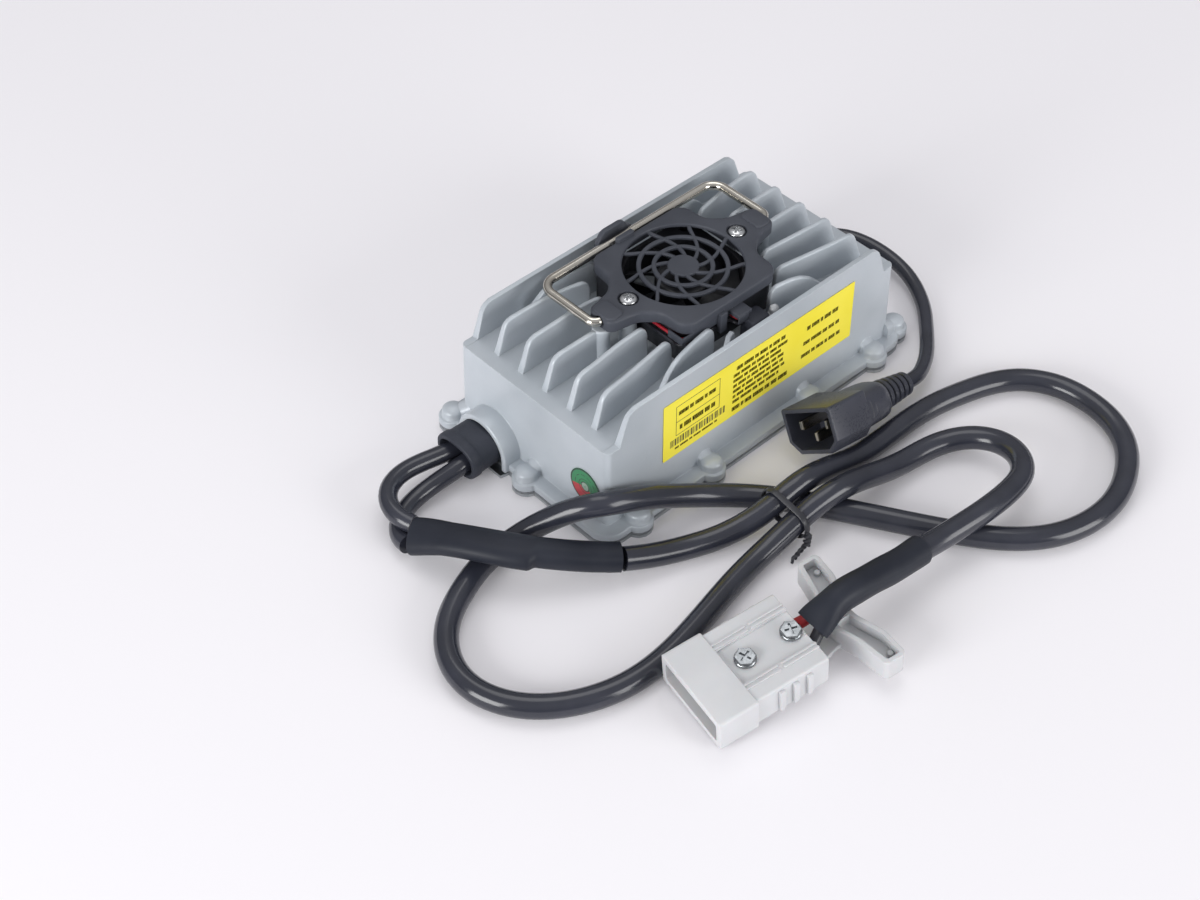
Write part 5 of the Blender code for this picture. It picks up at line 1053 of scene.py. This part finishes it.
def cover_shell():
    top = COVER_TOP
    tips = [slab(rounded([(side * 36.8, 5.4, 2.0), (side * 44.6, 5.6, 2.8), (side * 44.6, -5.6, 2.8),
                          (side * 36.8, -5.4, 2.0)]), top - 2, top + 0.75, 0.7) for side in (-1, 1)]
    cuts = [slab(rectangle(25.6, 25.6, 4.0), COVER_BOTTOM - 1, top - 1.5),
            spun(((GRILLE_RADIUS, COVER_BOTTOM), (GRILLE_RADIUS, top - 0.5),
                  (GRILLE_RADIUS + 0.15, top - 0.2), (GRILLE_RADIUS + 1.6, top + 1.2)), 96)]
    recess = ((4.1, top - 1.5), (4.1, top - 0.4), (4.4, top), (5.2, top + 0.8))
    for side in (-1, 1):
        bore = [(r, side * x) for r, x in ((2.15, 40.6), (2.15, 44.6), (2.6, 45.3), (3.0, 50.0))]
        cuts += [moved(spun(bore, 36, "X"), (0, 0, HINGE_Z)), post(recess, 48, side * COVER_SCREW_X),
                 post(((1.65, 57.0), (1.65, top)), 24, side * COVER_SCREW_X)]
    low, high = top - 1.8, top - 0.5
    added = [spun(((6.3, low), (6.3, high - 0.3), (6.0, high), (0.01, high)), 56)]
    added += [hoop(11.6, 1.8, low, high), hoop(17.6, 1.8, low - 0.05, high - 0.05)]
    added += [grille_bar(k, low + 0.1, high - 0.1) for k in range(SPOKES)]
    lip = rounded([(4.0, 58.85, 0), (4.0, 62.0, 2.0), (1.6, 62.8, 1.5), (-0.8, 66.6, 3.6),
                   (-12.6, 66.6, 4.0), (-14.8, 61.5, 3.0), (-15.0, 58.85, 0)])
    clip_floor, skirt_low, skirt = HINGE_Z - WIRE / 2 - 0.3, 56.1, COVER_BOTTOM + 0.3
    # The hook: floor, lip and back. Then the skirt's two sides, a thin dark sheet that partly stands in for
    # the shade under the cover's front edge and hides the leads there, and the tab over the leads
    added += [brick((-15.0, 26.9, 58.8), (4.0, 33.2, clip_floor), 0.2),
              slab(lip, 33.0, 35.4, 0.7, "XZ", 0.4),
              brick((-10.4, 26.0, COVER_BOTTOM + 1), (-1.6, 28.3, 66.3), 0.6),
              brick((-27.5, -27.5, skirt_low), (3.0, -26.8, skirt), 0.15),
              brick((-27.5, -27.5, skirt_low), (-26.8, -19.5, skirt), 0.15),
              brick((-2.4, -33.0, 57.7), (5.0, -27.0, COVER_BOTTOM + 0.4), 0.3),
              brick((-2.4, -33.3, 55.4), (3.0, -32.7, COVER_BOTTOM), 0.15),
              brick((-8.4, -29.4, 52.0), (-4.8, -27.2, COVER_BOTTOM + 2), 0.3)]
    return worked(slab(cover_outline(), COVER_BOTTOM, top, 1.1, low_edge=0.3), ("UNION", tips),
                  ("DIFFERENCE", cuts), ("UNION", added))


# Dark grey satin plastic of the cover, a blend with a faint blue cast
cover_plastic = moulded("cover_plastic", "3E4149", "484B53", 24.0, 0.5, 0.03, (0.42, 0.54), round_mm=0.35,
                        Specular_IOR_Level=0.3)
piece("fan_cover_grille", [cover_shell()], cover_plastic, "black_plastic", "fan_cover", sharp=34)

# Bright zinc plated screw steel
screw_steel = moulded("screw_steel", "D9DADB", "C6C8CA", 3.0, 0.5, 0.008, (0.16, 0.32), Metallic=1.0)
SEAT_Z, SCREW_TURN = 63.1, 0.5
pan = [(0.01, 49.0), (0.7, 49.2), (1.3, 50.2), (1.3, SEAT_Z), (3.4, SEAT_Z), (3.5, SEAT_Z + 0.12)]
pan += [(3.5, SEAT_Z + 0.6)]
pan += [(3.5 * cos(t), SEAT_Z + 0.6 + 1.4 * sin(t)) for t in np.linspace(0.1, pi / 2 - 0.02, 12)]
arm = brick((-2.2, -0.5, SEAT_Z + 0.4), (2.2, 0.5, SEAT_Z + 3.0), 0.06)
tick = brick((-1.9, -0.2, SEAT_Z + 1.3), (1.9, 0.2, SEAT_Z + 3.0), 0.04)
recess = [moved(arm, (0, 0, 0), SCREW_TURN + q) for q in (0, pi / 2)]
recess += [moved(tick, (0, 0, 0), SCREW_TURN + q) for q in (pi / 4, 3 * pi / 4)]
screw = worked(spun(pan, 44), ("DIFFERENCE", recess))
for number, side in ((1, -1), (2, 1)):
    piece(f"cover_screw_head_{number}", [moved(screw, (side * COVER_SCREW_X, 0, 0))], screw_steel,
          "bright_steel", f"cover_screw_{number}", sharp=28)


# Handle
#
# A bail of bright nickel plated wire. Its two ends turn inwards and swing in the
# cover's ears; at rest it lies in the hook on the far side.

HANDLE_X = 47.7
wire_route = rounded([(-41.0, 0.0, 0), (-HANDLE_X, 0.0, 3.4), (-HANDLE_X, HANDLE_REACH, 6.5),
                      (HANDLE_X, HANDLE_REACH, 6.5), (HANDLE_X, 0.0, 3.4), (41.0, 0.0, 0)], radians(4))
wire_line = np.column_stack([wire_route, np.full(len(wire_route), HINGE_Z)])
# Drawn spring wire under bright nickel: streaks along it, sharp reflections
bright_wire = drawn("bright_nickel_wire", "DAD6CC", "CCC6BA", 0.006, (0.07, 0.19), streaks=60.0,
                    Metallic=1.0)
piece("carry_bail", [tube(wire_line, WIRE / 2, 32)], bright_wire, "bright_steel", "carry_handle",
      body="bail")


# Fan leads, lead seal and charge lamp
#
# Two thin leads run round the fan under the cover and go down through a soft rubber
# block. Beside it a clear lens on a short post shows the charging state.

SEAL_X, SEAL_Y, LEAD = (3.2, 12.6), (-36.6, -28.0), 1.4
# A darker red than the connector's red core, partly painted shade: the lead lies in the cover's shade
red_lead = moulded("red_lead_vinyl", "9C1A28", "A6242F", 6.0, 0.6, 0.008, (0.30, 0.42))
for name, z, gap, fall, vinyl, slot in (("red", 56.4, 0.8, 0.7, red_lead, "red_wire"),
                                        ("black", 53.5, 1.1, 0.45, black_vinyl, "cord_jacket")):
    edge = FAN_HALF + gap
    way = rounded([(-edge, -6.0, 0), (-edge, -edge, 3.6), (-1.0, -edge, 3.0), (-0.4, -30.6, 2.0),
                   (SEAL_X[0] - 0.3, -30.6, 0)], radians(8))
    way = np.array([(x, y, z - fall * max(0.0, x + 1)) for x, y in way])
    piece(f"fan_wire_{name}", [tube(way, LEAD / 2, 14)], vinyl, slot, f"fan_lead_{name}")
seal_outline = rectangle((SEAL_X[1] - SEAL_X[0]) / 2, (SEAL_Y[1] - SEAL_Y[0]) / 2, 2.0,
                         (sum(SEAL_X) / 2, sum(SEAL_Y) / 2))
piece("fan_lead_grommet", [slab(seal_outline, TROUGH_Z + 0.3, TROUGH_Z + 10.9, 1.2, low_edge=0.3)],
      rubber, "black_rubber", "fan_lead_seal")
lens_profile = [(0.01, LAMP_FOOT), (2.3, LAMP_FOOT), (2.3, LAMP_FOOT + 0.8), (1.9, LAMP_FOOT + 0.9)]
lens_profile += [(1.9 * cos(t), LAMP_FOOT + 2.7 + 1.9 * sin(t)) for t in np.linspace(0, pi / 2 - 0.01, 12)]
# Clear acrylic, a little cloudy from the moulding
clear_lens = moulded("clear_lens", "E6E8EA", "DADDE0", 4.0, 0.6, 0.004, (0.08, 0.16),
                     Transmission_Weight=0.35, IOR=1.49)
piece("charge_lens", [post(lens_profile, 36, *LAMP_PLACE)], clear_lens, "clear_lens", "charge_lamp")


# Rating label and round sticker
#
# Printed film on the drafted walls. The print is left as generic fields: ruled boxes,
# bars in place of lines of text and a row of stripes.

WALL_TURN, FILM, INK_LOW = radians(89.0), 0.12, 0.118
label_pose = np.array(Matrix.Translation((2.0, -42.3545, 34.85)) @ Matrix.Rotation(WALL_TURN, 4, "X"))
# Printed polyester film, matt enough to show no reflection
film = moulded("yellow_film", "F6E54A", "F8E956", 26.0, 0.5, 0.002, (0.5, 0.6), Specular_IOR_Level=0.0)


def printed(name, base, ink, stroke_mm, coverage):
    """Ink over film in fine upright strokes: a wave along X, broken up by noise."""
    made, tree, shader = blank(name)
    spot = node(tree, "TexCoord").outputs["Object"]
    wobble = node(tree, "TexNoise", {"Vector": spot, "Scale": 900.0, "Detail": 2.0}).outputs["Fac"]
    along = node(tree, "SeparateXYZ", {0: spot}).outputs["X"]
    phase = node(tree, "Math", {0: along, 1: 2000 * pi / stroke_mm}, operation="MULTIPLY").outputs[0]
    shaken = node(tree, "Math", {0: wobble, 1: 9.0, 2: phase}, operation="MULTIPLY_ADD").outputs[0]
    wave = node(tree, "Math", {0: shaken}, operation="SINE").outputs[0]
    mask = node(tree, "MapRange", {"Value": wave, "From Min": coverage - 0.3, "From Max": coverage + 0.3,
                                   "To Min": 1.0, "To Max": 0.0}).outputs[0]
    tone = node(tree, "Mix", {0: mask, 6: srgb(base), 7: srgb(ink)}, data_type="RGBA")
    feed(tree, shader, {"Base Color": tone.outputs[2], "Roughness": 0.5, "Specular IOR Level": 0.1})
    return made


def bar(u0, u1, v0, v1):
    """Printed field on the label, thicker than the film's surface by 15 micrometres."""
    return posed(slab(np.array([(u0, v0), (u1, v0), (u1, v1), (u0, v1)]), INK_LOW, 0.135), label_pose)


def words(u0, u1, v, height, start):
    """Bars of uneven length with a gap between them, in place of a line of text."""
    lengths, shapes, u, k = (3.4, 5.2, 2.1, 4.3, 1.5, 3.8, 6.0, 2.7), [], u0, start
    while u < u1 - 1.0:
        end = min(u1, u + lengths[k % len(lengths)])
        shapes.append(bar(u, end, v - height / 2, v + height / 2))
        u, k = end + 0.75, k + 1
    return shapes


piece("rating_label_film", [posed(slab(rectangle(53.3, 14.55, 0.6), 0.0, FILM), label_pose)], film,
      "label_film", "rating_label")
BOX_LEFT, BOX_RIGHT, BOX_LOW, BOX_HIGH, RULE = -46.5, -23.1, -4.3, 10.7, 0.13
rules = [bar(BOX_LEFT, BOX_RIGHT, v - RULE, v + RULE) for v in (BOX_HIGH, 2.6, BOX_LOW)]
rules += [bar(u - RULE, u + RULE, BOX_LOW, BOX_HIGH) for u in (BOX_LEFT, BOX_RIGHT)]
u = -49.6
for k in range(34):
    width = (0.30, 0.55, 0.25, 0.75, 0.40)[k % 5]
    rules.append(bar(u, u + width, -9.2, -5.6))
    u += width + (0.42, 0.30, 0.58)[k % 3]
label_ink = moulded("label_ink", "2A2A26", "33332D", 5.0, 0.4, 0.002, (0.35, 0.45))
piece("label_rules", rules, label_ink, "label_film")
# Each line of print as left end, right end, middle, height and first bar
BODY_ENDS = (14.6, 11.8, 14.2, 12.6, 15.0, 10.4)
LINES = ((-45.2, -24.6, 6.6, 2.0, 1), (-44.6, -25.4, -0.9, 2.4, 4), (-47.0, -24.0, -10.9, 1.0, 2),
         (-14.0, 13.2, 9.9, 1.9, 0),
         *((-15.6, end, 6.7 - 2.75 * k, 1.55, k) for k, end in enumerate(BODY_ENDS)),
         (-15.8, 15.6, -10.9, 2.1, 3), (26.0, 44.2, 5.9, 2.1, 2), (24.4, 45.4, -1.4, 1.9, 5),
         (23.6, 46.4, -7.8, 1.9, 1))
piece("label_lines", [shape for row in LINES for shape in words(*row)],
      printed("label_print", "B9AB1E", "0E0D0A", 0.8, 0.62), "label_film")

STICKER = 8.2
sticker_pose = np.array(Matrix.Translation((-80.6311, -30.5, 19.0)) @ Matrix.Rotation(-pi / 2, 4, "Z")
                        @ Matrix.Rotation(WALL_TURN, 4, "X"))


def ring(inner, outer, high):
    """Printed ring on the sticker."""
    shape = spun(((inner, INK_LOW), (outer, INK_LOW), (outer, high), (inner, high)), 48, closed=True)
    return posed(shape, sticker_pose)


def sector(inner, outer, high, first, last):
    """Part of such a ring between two angles in degrees."""
    a = np.linspace(radians(first), radians(last), 49)
    turned = np.stack([np.cos(a), np.sin(a)], axis=1)
    return posed(slab(np.concatenate([outer * turned, inner * turned[::-1]]), INK_LOW, high), sticker_pose)


disc = spun(((0.01, 0.0), (STICKER, 0.0), (STICKER, FILM), (0.01, FILM)), 72)
marks = [ring(7.5, 8.1, 0.138), ring(1.9, 2.3, 0.138), ring(3.3, 3.6, 0.136)]
marks += [sector(5.3, 5.6, 0.134, first, first + 24) for first in range(20, 170, 36)]
for name, shapes, tones, patch_mm, rough, stands_for in (
        ("film", [posed(disc, sticker_pose)], ("2C7A4C", "338556"), 5.0, (0.28, 0.38), ["round_sticker"]),
        ("lower_field", [sector(2.2, 7.6, 0.130, 196, 338)], ("A93038", "B63B40"), 5.0, (0.28, 0.38), []),
        ("centre_field", [ring(0.3, 1.9, 0.136)], ("7F9A86", "94A898"), 3.0, (0.28, 0.38), []),
        ("rings", marks, ("26302E", "303B37"), 5.0, (0.30, 0.40), [])):
    gloss_print = moulded(f"sticker_{name}", *tones, patch_mm, 0.5, 0.003, rough)
    piece(f"round_sticker_{name}" if stands_for else f"sticker_{name}", shapes, gloss_print,
          "sticker_film", *stands_for)


# Parts inside the housing
#
# A glass-fibre board carries the transformer, the chokes, the capacitors, a fuse and
# the heat bar. They are seen only when the housing is opened.

def layered_winding(name, base, other, pitch_mm, axis):
    """Turns of wire or tape: rounded ridges of pitch_mm along an axis, with uneven gloss."""
    made, tree, shader = blank(name)
    spot = node(tree, "TexCoord").outputs["Object"]
    along = node(tree, "SeparateXYZ", {0: spot}).outputs[axis]
    phase = node(tree, "Math", {0: along, 1: 2000 * pi / pitch_mm}, operation="MULTIPLY").outputs[0]
    ridge = node(tree, "Math", {0: phase}, operation="SINE").outputs[0]
    cloud = node(tree, "TexNoise", {"Vector": spot, "Scale": 180.0, "Detail": 3.0}).outputs["Fac"]
    tone = node(tree, "Mix", {0: cloud, 6: srgb(base), 7: srgb(other)}, data_type="RGBA")
    relief = node(tree, "Bump", {"Height": ridge, "Distance": 0.00015, "Strength": 0.8})
    feed(tree, shader, {"Base Color": tone.outputs[2], "Normal": relief.outputs[0], "Roughness": 0.34})
    return made


dress(moulded("solder_mask", "1F6B3A", "2A7A45", 4.0, 1.2, 0.03, (0.22, 0.40)), "circuit_board")
dress(moulded("ferrite", "3A3B3E", "303134", 5.0, 0.6, 0.05, (0.5, 0.7), round_mm=0.3), "transformer_core")
dress(layered_winding("yellow_tape", "E3C23A", "EACB4C", 3.0, "Y"), "transformer_winding")
dress(layered_winding("enamelled_copper", "A85A26", "C4713A", 0.9, "Z"), "line_choke", "output_choke")
dress(moulded("capacitor_sleeve", "23304F", "2B3A5C", 16.0, 0.7, 0.01, (0.18, 0.30)), "bulk_capacitor_1",
      "bulk_capacitor_2", "output_capacitor")
dress(moulded("bare_aluminium", "C5C8CA", "B6BABC", 8.0, 0.8, 0.02, (0.28, 0.44), Metallic=1.0), "heat_bar")
dress(moulded("fuse_glass", "D9DDDE", "C9CED0", 3.0, 0.6, 0.004, (0.06, 0.16)), "line_fuse")
